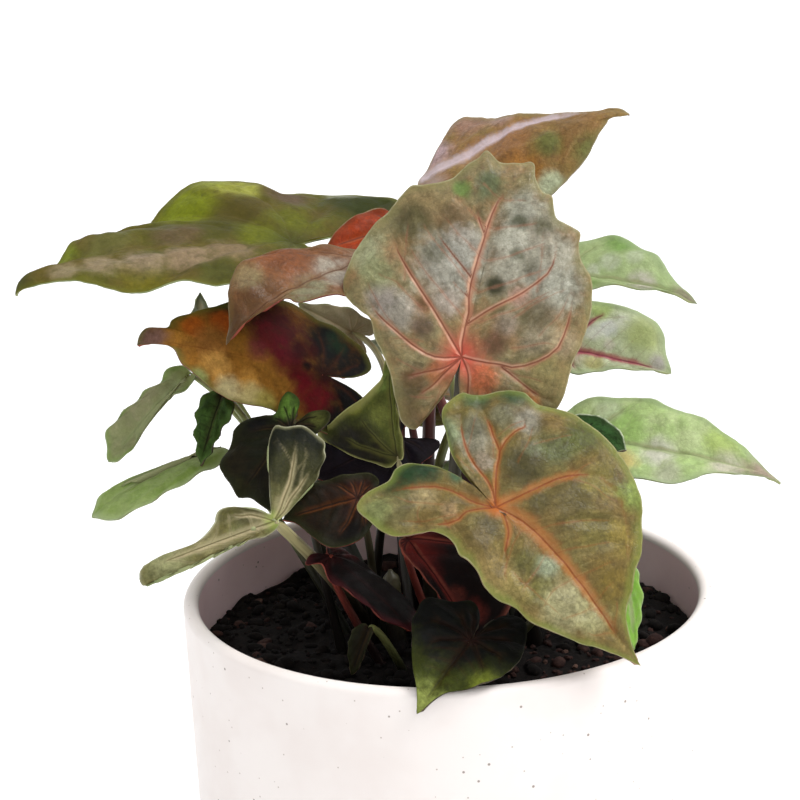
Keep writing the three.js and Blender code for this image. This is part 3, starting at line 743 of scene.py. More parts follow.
# What lies between the tip and the notch behind the stalk: degrees from the tip's direction, then the reach
# and perhaps the lift, as shares of the leaf's length from the junction.
ARROW: Outline = (
    (18, 0.74), (38, 0.62), (60, 0.54), (85, 0.49), (108, 0.46), (128, 0.49), (146, 0.53), (158, 0.48),
    (168, 0.3),
)
SLIM: Outline = (
    (15, 0.68), (30, 0.5), (50, 0.4), (75, 0.33), (105, 0.32), (128, 0.38), (146, 0.44), (158, 0.4),
    (168, 0.26),
)
LANCE: Outline = ((15, 0.68), (30, 0.5), (50, 0.36), (75, 0.25), (100, 0.17), (150, 0.08))
STRAP: Outline = ((6, 0.86), (11, 0.62), (18, 0.42), (35, 0.22), (70, 0.13), (130, 0.08))
NARROW: Outline = ((5, 0.8), (12, 0.42), (28, 0.22), (60, 0.12), (120, 0.07))


@dataclass(frozen=True)
class Nerve:
    """A vein's line on the flat leaf, its stain's half width in millimetres and how strong the stain is."""

    line: tuple[Spot, ...]
    stain: float = 1.2
    strength: float = 1.0


@dataclass(frozen=True)
class Leaf:
    """One leaf: a veined blade on its own stalk, standing for one CAD node.

    junction is where the stalk meets the blade, tip the blade's point and face where its upper side looks.
    right and left are its half outlines, and notch is how far from the junction they end. The stalk, whose
    half thickness is radius, goes from foot towards rise and reaches the junction from arrive. bend, hook,
    which starts at hook_from, and lobe_bend curve the midrib, in degrees. fold and cup, for the right and left
    half, are the slope at the midrib and how much it turns from there to half a length out. The veins that
    leave the junction are drawn, or basal gives their angles, and ribs are where others leave the midrib.
    ruffle, scallop and quilt are the heights, in millimetres, of the edge's waves up and down, of its waves in
    and out, and of the puffed skin between the veins. A half edge has as many waves up and down as waves says,
    and cell is the size of a face.
    """

    node: str
    slot: str
    finish: LeafFinish
    junction: Point
    tip: Point
    face: Point
    right: Outline
    left: Outline
    foot: Spot
    rise: Point
    arrive: Point
    radius: float = 1.35
    notch: float = 0.04
    bend: float = 20
    hook: float = 0
    hook_from: float = 0.65
    lobe_bend: float = 15
    fold: Spot = (10, 10)
    cup: Spot = (-10, -10)
    basal: tuple[tuple[float, ...], tuple[float, ...]] = ((48, 84, 122, 150), (48, 84, 122, 150))
    drawn: tuple[Nerve, ...] = ()
    ribs: tuple[float, ...] = (0.16, 0.32, 0.48, 0.64, 0.8)
    ruffle: float = 0.5
    scallop: float = 0.5
    waves: float = 5.0
    quilt: float = 0.7
    cell: float = 0.8
    stalk: StalkKind = StalkKind.GREEN


class BladeForm:
    """Carries points of the flat leaf to their places on the bent blade."""

    REACH = 1.35
    STEPS = 271
    FLAT_CUP = 0.01
    HALF = 0.5

    def __init__(self, leaf: Leaf) -> None:
        """Works out the midrib and how the blade stands.

        Args:
            leaf: The leaf.
        """
        self.leaf = leaf
        self.along = np.linspace(-self.REACH, self.REACH, self.STEPS)
        slope = self.slope(self.along)
        step = self.along[1] - self.along[0]
        rib = np.zeros((self.STEPS, 2))
        for column, rate in enumerate((np.cos(slope), -np.sin(slope))):
            rib[1:, column] = np.cumsum((rate[1:] + rate[:-1]) / 2 * step)
        self.rib = rib - self.on_rib(rib, np.zeros(1))
        chord = self.on_rib(self.rib, np.ones(1))[0]
        self.junction = np.array(leaf.junction, float)
        span = np.array(leaf.tip, float) - self.junction
        self.size = np.linalg.norm(span) / np.linalg.norm(chord)
        ahead = unit(span)
        face = np.array(leaf.face, float)
        up = unit(face - ahead * (face @ ahead))
        flat_ahead = unit(chord)
        lean = self.slope(np.array([0.0, 1.0])).sum() / 2
        flat_up = np.array([math.sin(lean), math.cos(lean)])
        flat_up = unit(flat_up - flat_ahead * (flat_up @ flat_ahead))
        rows = [a * ahead + u * up for a, u in zip(flat_ahead, flat_up)]
        self.turn = np.stack([np.cross(ahead, up), *rows])

    def slope(self, along: Array) -> Array:
        """Finds how steeply the midrib falls.

        Args:
            along: Shares of the way to the tip, below 0 behind the junction.

        Returns:
            The slopes in radians.
        """
        leaf = self.leaf
        past = np.clip((along - leaf.hook_from) / (1 - leaf.hook_from), 0, None)
        fore = leaf.bend * along + leaf.hook * past**2
        return np.radians(np.where(along >= 0, fore, leaf.lobe_bend * along))

    def on_rib(self, rib: Array, along: Array) -> Array:
        """Returns the rib's points at shares of the way to the tip."""
        return np.stack([np.interp(along, self.along, rib[:, i]) for i in (0, 1)], axis=-1)

    def carry(self, x: Array, y: Array, lift: Array) -> Array:
        """Places flat points on the blade.

        Args:
            x: Places across, to the right.
            y: Places along, to the tip.
            lift: Heights above the blade.

        Returns:
            Places in millimetres, one row a point.
        """
        leaf = self.leaf
        fold = np.radians(np.where(x >= 0, *leaf.fold))
        cup = [c or self.FLAT_CUP for c in leaf.cup]
        curl = np.radians(np.where(x >= 0, *cup)) / self.HALF
        turned = fold + curl * np.abs(x)
        out = np.sign(x) * (np.sin(turned) - np.sin(fold)) / curl
        high = (np.cos(fold) - np.cos(turned)) / curl + lift
        slope = self.slope(y)
        rib = self.on_rib(self.rib, y)
        flat = np.stack([out, rib[:, 0] + high * np.sin(slope), rib[:, 1] + high * np.cos(slope)], axis=-1)
        return self.junction + self.size * flat @ self.turn

    def normals(self, x: Array, y: Array, lift: Array) -> Array:
        """Finds which way the upper face looks.

        Args:
            x: Places across, to the right.
            y: Places along, to the tip.
            lift: Heights above the blade.

        Returns:
            Directions of length 1, one row a point.
        """
        step = 1e-3
        here = np.where(x >= 0, x + step, x - step) + step * (x == 0)
        across = self.carry(here + step, y, lift) - self.carry(here - step, y, lift)
        ahead = self.carry(here, y + step, lift) - self.carry(here, y - step, lift)
        found = np.cross(across, ahead)
        return found / np.linalg.norm(found, axis=1)[:, None]


@dataclass
class Vein:
    """A vein on the flat leaf: its line, its stain's half width at its start, in millimetres, and strength."""

    line: Array
    stain: float
    strength: float = 1.0

    TAPER = 0.55

    def measure(self, points: Array, size: float) -> tuple[Array, Array]:
        """Measures points against the vein.

        Args:
            points: Places on the flat leaf.
            size: The leaf's length in millimetres.

        Returns:
            The distance in millimetres, negative on the vein's right, and the stain's strength.
        """
        best = np.full(len(points), np.inf)
        side = np.ones(len(points))
        spot = np.zeros(len(points))
        last = len(self.line) - 1
        for i in range(last):
            start, way = self.line[i], self.line[i + 1] - self.line[i]
            off = points - start
            share = np.clip((off @ way) / (way @ way), 0, 1)
            away = np.linalg.norm(off - share[:, None] * way, axis=1)
            nearer = away < best
            best = np.where(nearer, away, best)
            side = np.where(nearer, np.sign(way[0] * off[:, 1] - way[1] * off[:, 0]), side)
            spot = np.where(nearer, (i + share) / last, spot)
        best = best * size
        width = self.stain * (1 - self.TAPER * spot)
        fade = 1 - smooth(0.6, 1.0, spot)
        return side * best, self.strength * fade * np.exp(-((best / width) ** 2))


class HalfEdge:
    """A half outline, read by direction from the junction."""

    def __init__(self, edge: Array, sign: int) -> None:
        """Sorts the outline by direction.

        Args:
            edge: Its points, from tip to notch.
            sign: 1 for the right half and -1 for the left.
        """
        turns = np.degrees(np.arctan2(np.abs(edge[:, 0]), edge[:, 1]))
        order = np.argsort(turns)
        self.sign = sign
        self.turns = turns[order]
        self.reach = np.linalg.norm(edge[:, :2], axis=1)[order]

    def point(self, degrees: float, share: float) -> Array:
        """Finds a point of the half leaf.

        Args:
            degrees: Its angle from the tip's direction.
            share: How far out it is, 1 at the edge.

        Returns:
            The point on the flat leaf.
        """
        far = share * np.interp(degrees, self.turns, self.reach)
        turn = math.radians(degrees)
        return np.array([self.sign * far * math.sin(turn), far * math.cos(turn)])


class Venation:
    """The veins of a leaf, drawn or worked out from its outline."""

    STEPS = 14
    MAIN = 1.1
    SIDE = 0.6
    BORDER = 0.48
    BASAL_END = 0.92  # how far towards the edge the veins go
    SIDE_END = 0.9
    BOW = 14.0
    BRANCHES = ((0.45, 9), (0.62, -9))  # where a vein from the junction branches, and by how many degrees
    SWAY = 0.02
    SWAY_SIZE = 0.13

    def __init__(self, leaf: Leaf, edges: tuple[Array, Array]) -> None:
        """Lays out the veins.

        Args:
            leaf: The leaf.
            edges: The right and the left half outline, from tip to notch.
        """
        self.side: list[Vein] = []
        if leaf.drawn:
            lines = [spaced(np.array(n.line, float), self.STEPS) for n in leaf.drawn]
            self.main = [Vein(line, n.stain, n.strength) for line, n in zip(lines, leaf.drawn)]
        else:
            self.main = [Vein(np.array([[0.0, -0.02], [0.0, 0.5], [0.0, 0.99]]), 1.3 * self.MAIN)]
        for sign, edge, angles in zip((1, -1), edges, leaf.basal):
            half = HalfEdge(edge, sign)
            if not leaf.drawn:
                self.main += [Vein(self.basal(half, angle), self.MAIN) for angle in angles]
            for angle in angles:
                self.branch(half, angle)
            for rib in leaf.ribs:
                self.rib(half, rib)
            turns = np.linspace(8, max(angles, default=90.0), 3 * self.STEPS)
            border = np.array([half.point(turn, self.SIDE_END) for turn in turns])
            self.side.append(Vein(border, self.BORDER, 0.3))

    def basal(self, half: HalfEdge, angle: float) -> Array:
        """Returns the line of a vein that leaves the junction at an angle."""
        return self.arc(np.zeros(2), half.point(angle + self.BOW, 0.5), half.point(angle, self.BASAL_END))

    def branch(self, half: HalfEdge, angle: float) -> None:
        """Adds the branches of a vein that leaves the junction.

        Args:
            half: The half of the leaf.
            angle: The vein's angle.
        """
        line = self.basal(half, angle)
        for share, swing in self.BRANCHES:
            start = line[round(share * self.STEPS)]
            bow = (start + half.point(angle + swing, self.SIDE_END)) / 2
            end = half.point(angle + 1.6 * swing, self.SIDE_END)
            self.side.append(Vein(self.arc(start, bow, end), self.SIDE, 0.8))

    def rib(self, half: HalfEdge, share: float) -> None:
        """Adds a vein that leaves the midrib and sweeps forward, the less the nearer it is to the tip.

        Args:
            half: The half of the leaf.
            share: Where on the midrib it starts.
        """
        start = np.array([0.0, share])
        end = half.point(46 * (1 - share) ** 1.15 + 3, self.SIDE_END)
        bow = 0.5 * (start + end) + np.array([half.sign * 0.02, -0.045 * (1 - share)])
        self.side.append(Vein(self.arc(start, bow, end), self.SIDE))

    def arc(self, start: Array, bow: Array, end: Array) -> Array:
        """Draws a slightly wavy curve.

        Args:
            start: Where it starts.
            bow: What it leaves the start towards, and comes to the end from.
            end: Where it ends.

        Returns:
            Its points.
        """
        t = np.linspace(0, 1, self.STEPS + 1)[:, None]
        line = (1 - t) ** 2 * start + 2 * t * (1 - t) * bow + t**2 * end
        place = np.hstack([line, 0 * t])
        sway = np.stack([bumps(place, self.SWAY_SIZE), bumps(place, self.SWAY_SIZE, 5.0)], axis=-1)
        return line + self.SWAY * np.sin(math.pi * t) * sway

    def nearest(self, veins: list[Vein], points: Array, size: float) -> tuple[Array, Array]:
        """Measures points against several veins.

        Args:
            veins: The veins.
            points: Places on the flat leaf.
            size: The leaf's length in millimetres.

        Returns:
            The signed distance to the nearest vein in millimetres, and the strongest stain.
        """
        found = [vein.measure(points, size) for vein in veins]
        away = np.array([f[0] for f in found])
        nearest = np.argmin(np.abs(away), axis=0)
        return away[nearest, np.arange(len(points))], np.max([f[1] for f in found], axis=0)


class LeafBuilder:
    """Builds a leaf's blade and stalk as one closed mesh each, in one piece."""

    THIN = 0.4
    RIB = 0.6  # the blade's thickness on the midrib
    RIB_WIDTH = 1.1
    SIDES = 14
    SKINS = 3  # upper face, underside and stalk
    STALK_SKIN = 2
    STALK_TAPER = 0.6
    MAIN_GROOVE = 0.6  # half widths of the groove along a main vein, and of the valleys round the veins
    MAIN_VALLEY = 3.2
    SIDE_VALLEY = 1.6
    PUFFS = ((0.5, 3.0, 6.0), (0.22, 1.5, 2.4))  # share of the quilt, flat margin and size of puffs

    def __init__(self, leaf: Leaf, seed: float) -> None:
        """Prepares a leaf.

        Args:
            leaf: The leaf.
            seed: Shifts its patterns.
        """
        self.leaf = leaf
        self.seed = seed
        self.form = BladeForm(leaf)

    def edge(self, outline: Outline, sign: int, count: int) -> Array:
        """Turns a half outline into points.

        Args:
            outline: The half outline, without the tip and the notch.
            sign: 1 for the right half and -1 for the left.
            count: How many stretches it is cut into.

        Returns:
            count + 1 even points: across, along and lift.
        """
        rows = []
        for degrees, reach, *lift in ((0, 1), *outline, (180, self.leaf.notch)):
            turn = math.radians(degrees)
            rows.append((sign * reach * math.sin(turn), reach * math.cos(turn), *(lift or (0.0,))))
        return spaced(np.array(rows, float), count)

    def blade(self) -> Mesh:
        """Builds the blade: a fan of points from the junction to the edge, quilted between its veins.

        Returns:
            The closed blade.
        """
        leaf, form = self.leaf, self.form
        rough = self.edge(leaf.right, 1, 60)
        length = form.size * np.linalg.norm(np.diff(rough[:, :2], axis=0), axis=1).sum()
        half = max(16, round(length / (1.25 * leaf.cell)))
        rows = max(10, round(0.62 * form.size / leaf.cell))
        mesh, across, out = grid_mesh(f"{leaf.node}_body", 2 * half, rows)
        edges = (self.edge(leaf.right, 1, half), self.edge(leaf.left, -1, half))
        flat, lift, rim = self.spread(edges, across, out, length)
        veins = Venation(leaf, edges)
        main, main_stain = veins.nearest(veins.main, flat, form.size)
        side, side_stain = veins.nearest(veins.side, flat, form.size)
        surface = form.carry(flat[:, 0], flat[:, 1], lift)
        height = self.quilting(surface, main, side, rim)
        surface = surface + form.normals(flat[:, 0], flat[:, 1], lift) * height[:, None]
        write_points(mesh, surface)
        write_map(mesh, flat)
        for name, values in ((NERVES, (main, side, rim)), (STAINS, (main_stain, side_stain, 0 * side))):
            layer = mesh.attributes.new(name, "FLOAT_VECTOR", "POINT")
            layer.data.foreach_set("vector", np.stack(values, axis=-1).ravel())
        face = Vector(leaf.face)
        close_up(mesh, lambda bm: sum((f.normal * f.calc_area() for f in bm.faces), Vector()).dot(face) > 0)
        return self.thicken(mesh)

    def spread(
        self, edges: tuple[Array, Array], across: Array, out: Array, length: float
    ) -> tuple[Array, Array, Array]:
        """Spreads a grid over the flat leaf, with waves in and out and up and down along its edge.

        Args:
            edges: The right and the left half outline, from tip to notch.
            across: Where each point's ray meets the edge: 0 at the tip, and 1 or -1 at the notch.
            out: How far out on its ray each point is.
            length: The length of a half edge in millimetres.

        Returns:
            The points on the flat leaf, their lift, and how far each is from the edge in millimetres.
        """
        leaf, size = self.leaf, self.form.size
        index = np.rint(np.abs(across) * (len(edges[0]) - 1)).astype(int)
        rim = np.where((across >= 0)[:, None], edges[0][index], edges[1][index])
        reach = np.linalg.norm(rim[:, :2], axis=1)
        calm = np.sin(math.pi * np.clip(np.abs(across) * 1.02 + 0.03, 0, 1)) ** 0.5
        round_edge = np.stack([across * length, 0 * across, 0 * across], axis=-1)
        notched = bumps(round_edge, 5.0, self.seed + 9) + 0.5 * bumps(round_edge, 2.2, self.seed + 7)
        wider = 1 + leaf.scallop * notched * calm * out**3 / (size * np.maximum(reach, 0.15))
        flat = rim[:, :2] * (out * wider)[:, None]
        wave = np.sin(2 * math.pi * leaf.waves * np.abs(across) + 2 * np.sign(across) + self.seed)
        wave += 0.8 * bumps(round_edge, 7.0, self.seed + 3)
        lift = rim[:, 2] * out**2 + leaf.ruffle / size * wave * calm * out**4
        return flat, lift, (1 - out) * reach * size

    def quilting(self, surface: Array, main: Array, side: Array, rim: Array) -> Array:
        """Works out how far the skin stands up between the veins.

        Args:
            surface: Places on the smooth blade in millimetres.
            main: The distance from the nearest main vein in millimetres.
            side: The distance from the nearest side vein in millimetres.
            rim: The distance from the edge in millimetres.

        Returns:
            Heights in millimetres.
        """
        inner = smooth(0.0, 5.0, rim)
        height = inner * (1 - np.exp(-((main / self.MAIN_VALLEY) ** 2)))
        height += 0.6 * inner * (1 - np.exp(-((side / self.SIDE_VALLEY) ** 2)))
        height -= 0.45 * np.exp(-((main / self.MAIN_GROOVE) ** 2))
        for share, margin, grain in self.PUFFS:
            height += share * smooth(0.0, margin, rim) * bumps(surface, grain, self.seed)
        return self.leaf.quilt * height

    def thicken(self, mesh: Mesh) -> Mesh:
        """Gives the blade its thickness below its upper face, with the veins standing out underneath.

        Args:
            mesh: The upper face, which is used up.

        Returns:
            The closed blade, with empty slots for its skins.
        """
        body = bpy.data.objects.new("blade_to_thicken", mesh)
        bpy.context.scene.collection.objects.link(body)
        nerves = np.empty(3 * len(mesh.vertices))
        mesh.attributes[NERVES].data.foreach_get("vector", nerves)
        main = nerves.reshape(-1, 3)[:, 0]
        thin = self.THIN / self.RIB
        thick = thin + (1 - thin) * np.exp(-((main / self.RIB_WIDTH) ** 2))
        group = body.vertex_groups.new(name="rib")
        for i, weight in enumerate(thick.tolist()):
            group.add((i,), weight, "REPLACE")
        solidify = body.modifiers.new("thickness", "SOLIDIFY")
        solidify.thickness = self.RIB * MM
        solidify.offset = -1.0
        solidify.vertex_group = group.name
        solidify.material_offset = 1
        solidify.material_offset_rim = 1
        for _ in range(self.SKINS):
            mesh.materials.append(None)
        solid = bpy.data.meshes.new_from_object(body.evaluated_get(bpy.context.evaluated_depsgraph_get()))
        bpy.data.objects.remove(body)
        bpy.data.meshes.remove(mesh)
        solid.name = f"{self.leaf.node}_body"
        return solid

    def stalk(self) -> Mesh:
        """Builds the stalk: a tube that thins towards the blade.

        Returns:
            The closed tube.
        """
        leaf = self.leaf
        low = (*leaf.foot, SOIL_LEVEL - ROOTED)
        end = np.array(leaf.junction) - 0.5 * unit(np.array(leaf.face, float))
        ends = [np.array(p, float) for p in (low, leaf.rise, leaf.arrive, end)]
        return tube(f"{leaf.node}_stalk", bezier(ends), self.girth, self.SIDES)

    def girth(self, share: Array) -> Array:
        """Shapes the stalk: a sheath at the foot and a point at the end.

        Args:
            share: Shares of its length.

        Returns:
            Its radius there.
        """
        sheath = 1 + 0.25 * (1 - smooth(0.1, 0.32, share))
        body = self.leaf.radius * (1 - (1 - self.STALK_TAPER) * share) * sheath
        return body * (1 - 0.65 * smooth(0.955, 1.0, share))

    def build(self) -> None:
        """Builds the whole leaf."""
        leaf = self.leaf
        blade, stalk = self.blade(), self.stalk()
        bm = bmesh.new()
        bm.from_mesh(blade)
        before = len(bm.faces)
        bm.from_mesh(stalk)
        bm.faces.ensure_lookup_table()
        for face in bm.faces[before:]:
            face.material_index = self.STALK_SKIN
        bm.to_mesh(blade)
        bm.free()
        bpy.data.meshes.remove(stalk)
        upper = leaf.finish.upper(f"{leaf.node}_skin", self.seed)
        materials = [upper, leaf.finish.under.material(), leaf.stalk.material()]
        place_piece(blade, materials, leaf.slot, leaf.node)


# ---- tubes


def bezier(ends: list[Array], count: int = 60) -> Array:
    """Places points evenly along a curve with four control points.

    Args:
        ends: The control points.
        count: How many stretches the curve is cut into.

    Returns:
        count + 1 points.
    """
    t = np.linspace(0, 1, 4 * count + 1)[:, None]
    a, b, c, d = ends
    line = (1 - t) ** 3 * a + 3 * t * (1 - t) ** 2 * b + 3 * t**2 * (1 - t) * c + t**3 * d
    walked = np.concatenate([[0], np.cumsum(np.linalg.norm(np.diff(line, axis=0), axis=1))])
    even = np.linspace(0, walked[-1], count + 1)
    return np.stack([np.interp(even, walked, line[:, i]) for i in range(3)], axis=-1)


def tube(name: str, line: Array, girth: Callable[[Array], Array], sides: int) -> Mesh:
    """Wraps a grid round a line.

    Args:
        name: The mesh's name.
        line: The points that the tube follows, in millimetres.
        girth: Gives the radius at shares of the length.
        sides: How many faces go round.

    Returns:
        The closed tube.
    """
    rows = len(line) - 1
    mesh, across, along = grid_mesh(name, sides, rows)
    ways = np.gradient(line, axis=0)
    ways /= np.linalg.norm(ways, axis=1)[:, None]
    right = unit(np.cross(ways[0], (0.0, 1.0, 0.3)))
    rights = []
    for way in ways:
        right = unit(right - way * (right @ way))
        rights.append(right)
    rights = np.array(rights)
    outs = np.cross(ways, rights)
    row = np.rint(along * rows).astype(int)
    turn = math.pi * across
    sideways = np.cos(turn)[:, None] * rights[row] + np.sin(turn)[:, None] * outs[row]
    write_points(mesh, line[row] + girth(along)[:, None] * sideways)
    write_map(mesh, np.stack([(across + 1) / 2, along], axis=-1))
    close_up(mesh)
    return mesh


# ---- pot, soil and stems


@dataclass
class Pot:
    """The round pot: a thick wall with a soft rim, standing on a flat underside."""

    height: float
    radius: float
    taper: float = 1.0
    wall: float = 4.0
    floor: float = 6.0
    foot_round: float = 3.0
    steps: int = 160

    OUTSIDE_RINGS = (0.15, 0.3, 0.45, 0.6, 0.75, 0.9)  # shares of the height
    INSIDE_RINGS = (0.9, 0.75, 0.5, 0.25)
    FLOOR_ROUND = 2.0
    WELD = 1e-6  # metres

    def outer(self, z: float) -> float:
        """Returns the outer radius at a height."""
        return self.radius - (self.height - z) * math.tan(math.radians(self.taper))

    def profile(self) -> list[Spot]:
        """Draws the wall from the axis below, over the rim, to the axis on the floor inside.

        Returns:
            Pairs of radius and height.
        """
        points = [(0.0, 0.0), (0.5 * self.radius, 0.0)]
        middle, foot = self.outer(0) - self.foot_round, self.foot_round
        for degrees in range(-90, 1, 18):
            turn = math.radians(degrees)
            points.append((middle + foot * math.cos(turn), foot + foot * math.sin(turn)))
        for share in self.OUTSIDE_RINGS:
            points.append((self.outer(share * self.height), share * self.height))
        half = self.wall / 2
        for degrees in range(0, 181, 15):
            turn = math.radians(degrees)
            rim = (self.radius - half + half * math.cos(turn), self.height - half + half * math.sin(turn))
            points.append(rim)
        for share in self.INSIDE_RINGS:
            points.append((self.outer(share * self.height) - self.wall, share * self.height))
        points.append((self.outer(self.floor) - self.wall - self.FLOOR_ROUND, self.floor))
        points.append((0.0, self.floor))
        return points

    def is_inside(self, place: Vector) -> bool:
        """Says whether a place on the pot, in millimetres, is on its inner wall or floor."""
        below_rim = 0.5 * self.floor < place.z < self.height - self.wall / 2
        return below_rim and math.hypot(place.x, place.y) < self.outer(place.z) - 1

    def build(self) -> None:
        """Spins the profile round the pot's axis."""
        bm = bmesh.new()
        corners = [bm.verts.new((r * MM, 0.0, z * MM)) for r, z in self.profile()]
        edges = [bm.edges.new(pair) for pair in zip(corners, corners[1:])]
        bmesh.ops.spin(
            bm, geom=corners + edges, axis=(0, 0, 1), cent=(0, 0, 0), angle=2 * math.pi, steps=self.steps,
            use_merge=True,
        )
        bmesh.ops.remove_doubles(bm, verts=bm.verts, dist=self.WELD)
        bmesh.ops.recalc_face_normals(bm, faces=bm.faces)
        for face in bm.faces:
            face.smooth = True
            face.material_index = int(self.is_inside(face.calc_center_median() / MM))
        mesh = bpy.data.meshes.new("pot_body")
        bm.to_mesh(mesh)
        bm.free()
        # The inner wall and floor wear the copy of the glaze with the painted shade tint.
        place_piece(mesh, [OUTER_GLAZE.material(), SHADE_TINTED_INNER_GLAZE.material()], "pot", "pot")


@dataclass
class Soil:
    """The potting soil: an uneven top with crumbs, bark and fibres lying on it.

    bark is the middle of a place where most of the crumbs are bark, and bark_reach its radius.
    """

    radius: float
    bottom: float
    crumbs: int = 1500
    lumps: int = 420
    bark: Spot = (34.0, -20.0)
    bark_reach: float = 22.0
    seed: int = 11

    COLUMNS, ROWS = 180, 90
    TOP, SIDE = 0.86, 0.93  # how far out on the grid the top and the side end
    LUMP_SIZES = (1.1, 2.7)
    CRUMB_SIZES = (0.5, 1.2)
    BARKY = (3, 5, 1)  # how common peat, bark and fibres are
    PEATY = (40, 3, 1)

    def height(self, x: float, y: float) -> float:
        """Finds the soil's level.

        Args:
            x: The place to the right in millimetres.
            y: The place to the back in millimetres.

        Returns:
            The level in millimetres.
        """
        slow = math.sin(0.19 * x + 0.8) * math.cos(0.17 * y - 0.4) + 0.4 * math.sin(0.3 * y)
        fine = noise.fractal(Vector((x, y, 3.0)) / 6.0, 0.7, 2.0, 4)
        return SOIL_LEVEL + 1.2 * slow + 1.1 * fine

    def bed(self) -> None:
        """Builds the body of the soil: an uneven top, straight sides and a flat bottom."""
        mesh, across, out = grid_mesh("soil_bed", self.COLUMNS, self.ROWS)
        turn = math.pi * across
        below = np.where(out <= self.SIDE, 1.0, (1 - out) / (1 - self.SIDE))
        reach = np.where(out <= self.TOP, out / self.TOP, below)
        x, y = self.radius * reach * np.cos(turn), self.radius * reach * np.sin(turn)
        level = np.array([self.height(a, b) for a, b in zip(x, y)])
        down = np.clip((out - self.TOP) / (self.SIDE - self.TOP), 0, 1)
        write_points(mesh, np.stack([x, y, level + down * (self.bottom - level)], axis=-1))
        close_up(mesh)
        place_piece(mesh, [Crumb.PEAT.material()], "soil", "soil")

    def drop(self, bm: bmesh.types.BMesh, chance: Random, count: int) -> None:
        """Drops one crumb on the bed.

        Args:
            bm: What it is added to.
            chance: The random draws.
            count: Its number. The first ones are lumps.
        """
        big = count < self.lumps
        size = chance.uniform(*(self.LUMP_SIZES if big else self.CRUMB_SIZES))
        turn = chance.uniform(0, 2 * math.pi)
        reach = (self.radius - size) * chance.random() ** 0.42
        x, y = reach * math.cos(turn), reach * math.sin(turn)
        centre = Vector((x, y, self.height(x, y) + 0.25 * size))
        spin = Matrix.Rotation(chance.uniform(0, 3.1), 4, "Z")
        spin = spin @ Matrix.Rotation(chance.uniform(-0.7, 0.7), 4, "X")
        shape = Matrix.Diagonal((size, size * chance.uniform(0.5, 0.9), size * chance.uniform(0.4, 0.8), 1))
        where = Matrix.Scale(MM, 4) @ Matrix.Translation(centre) @ spin @ shape
        made = bmesh.ops.create_icosphere(bm, subdivisions=2 if big else 1, radius=1.0, matrix=where)
        for vert in made["verts"]:
            push = 1 + 0.35 * noise.noise(vert.co / (size * MM) * 1.1 + Vector((count, 0, 0)))
            vert.co = centre * MM + (vert.co - centre * MM) * push
        barky = math.hypot(x - self.bark[0], y - self.bark[1]) < self.bark_reach
        kind = chance.choices(range(len(Crumb)), weights=self.BARKY if barky else self.PEATY)[0]
        for face in {f for v in made["verts"] for f in v.link_faces}:
            face.material_index = kind
            face.smooth = big

    def scatter(self) -> None:
        """Scatters crumbs over the bed, thicker along the wall."""
        chance = Random(self.seed)
        bm = bmesh.new()
        for count in range(self.crumbs + self.lumps):
            self.drop(bm, chance, count)
        mesh = bpy.data.meshes.new("soil_crumbs")
        bm.to_mesh(mesh)
        bm.free()
        place_piece(mesh, [kind.material() for kind in Crumb], "soil")


@dataclass(frozen=True)
class Stem:
    """A short stem that stands in the soil, with rings where old leaves grew."""

    node: str
    foot: Spot
    top: Spot
    height: float
    radius: float
    rings: int = 4

    RING_HEIGHT = 0.1  # shares of the radius and of the distance between rings
    RING_WIDTH = 0.08
    STEPS = 48
    SIDES = 20

    def girth(self, share: Array) -> Array:
        """Shapes the stem: it thins upwards, bulges at its rings and ends in a blunt crown.

        Args:
            share: Shares of its length.

        Returns:
            Its radius there.
        """
        off_ring = ((share * self.rings) % 1) - 0.5
        ringed = 1 + self.RING_HEIGHT * np.exp(-((off_ring / self.RING_WIDTH) ** 2))
        crown = 1 - 0.75 * smooth(0.93, 1.0, share)
        return self.radius * (1 - 0.25 * share) * ringed * crown

    def build(self) -> None:
        """Builds the stem."""
        low = np.array((*self.foot, SOIL_LEVEL - ROOTED))
        high = np.array((*self.top, SOIL_LEVEL + self.height))
        line = low + np.linspace(0, 1, self.STEPS + 1)[:, None] * (high - low)
        mesh = tube(f"{self.node}_body", line, self.girth, self.SIDES)
        place_piece(mesh, [StalkKind.DARK.material()], "stem", self.node)


STEMS = (
    Stem("stem_middle", (-3, 3), (-4, 4), 30, 3.2),
    Stem("stem_right", (9, -9), (10, -11), 24, 2.8),
    Stem("stem_left", (-13, -8), (-15, -8), 22, 2.8),
    Stem("stem_back", (6, 14), (7, 16), 26, 2.8),
)


# ---- the leaves' finishes

# Six plain finishes, then those of single leaves.
OLIVE = LeafFinish(
    body="#76663e", blotch="#7d5a3a", shade="#3f3a20", bloom="#9a8f68", rim="#6f7a36", stain="#b5793f",
    crease="#6b3418", glow="#b06a3a", under=Underside.BROWN,
)
GREEN = LeafFinish(
    body="#8fab62", blotch="#a3b67e", shade="#6d8a44", bloom="#bcc9a0", rim="#a5b98a", stain="#b4bf8e",
    crease="#76864e", glow="#a3aa70", edge="#d3dcc0", speck_share=0.25, side_share=0.25, crease_share=0.3,
    ridge_highlight_share=0.25, light="#b0d070", light_share=0.35,
)
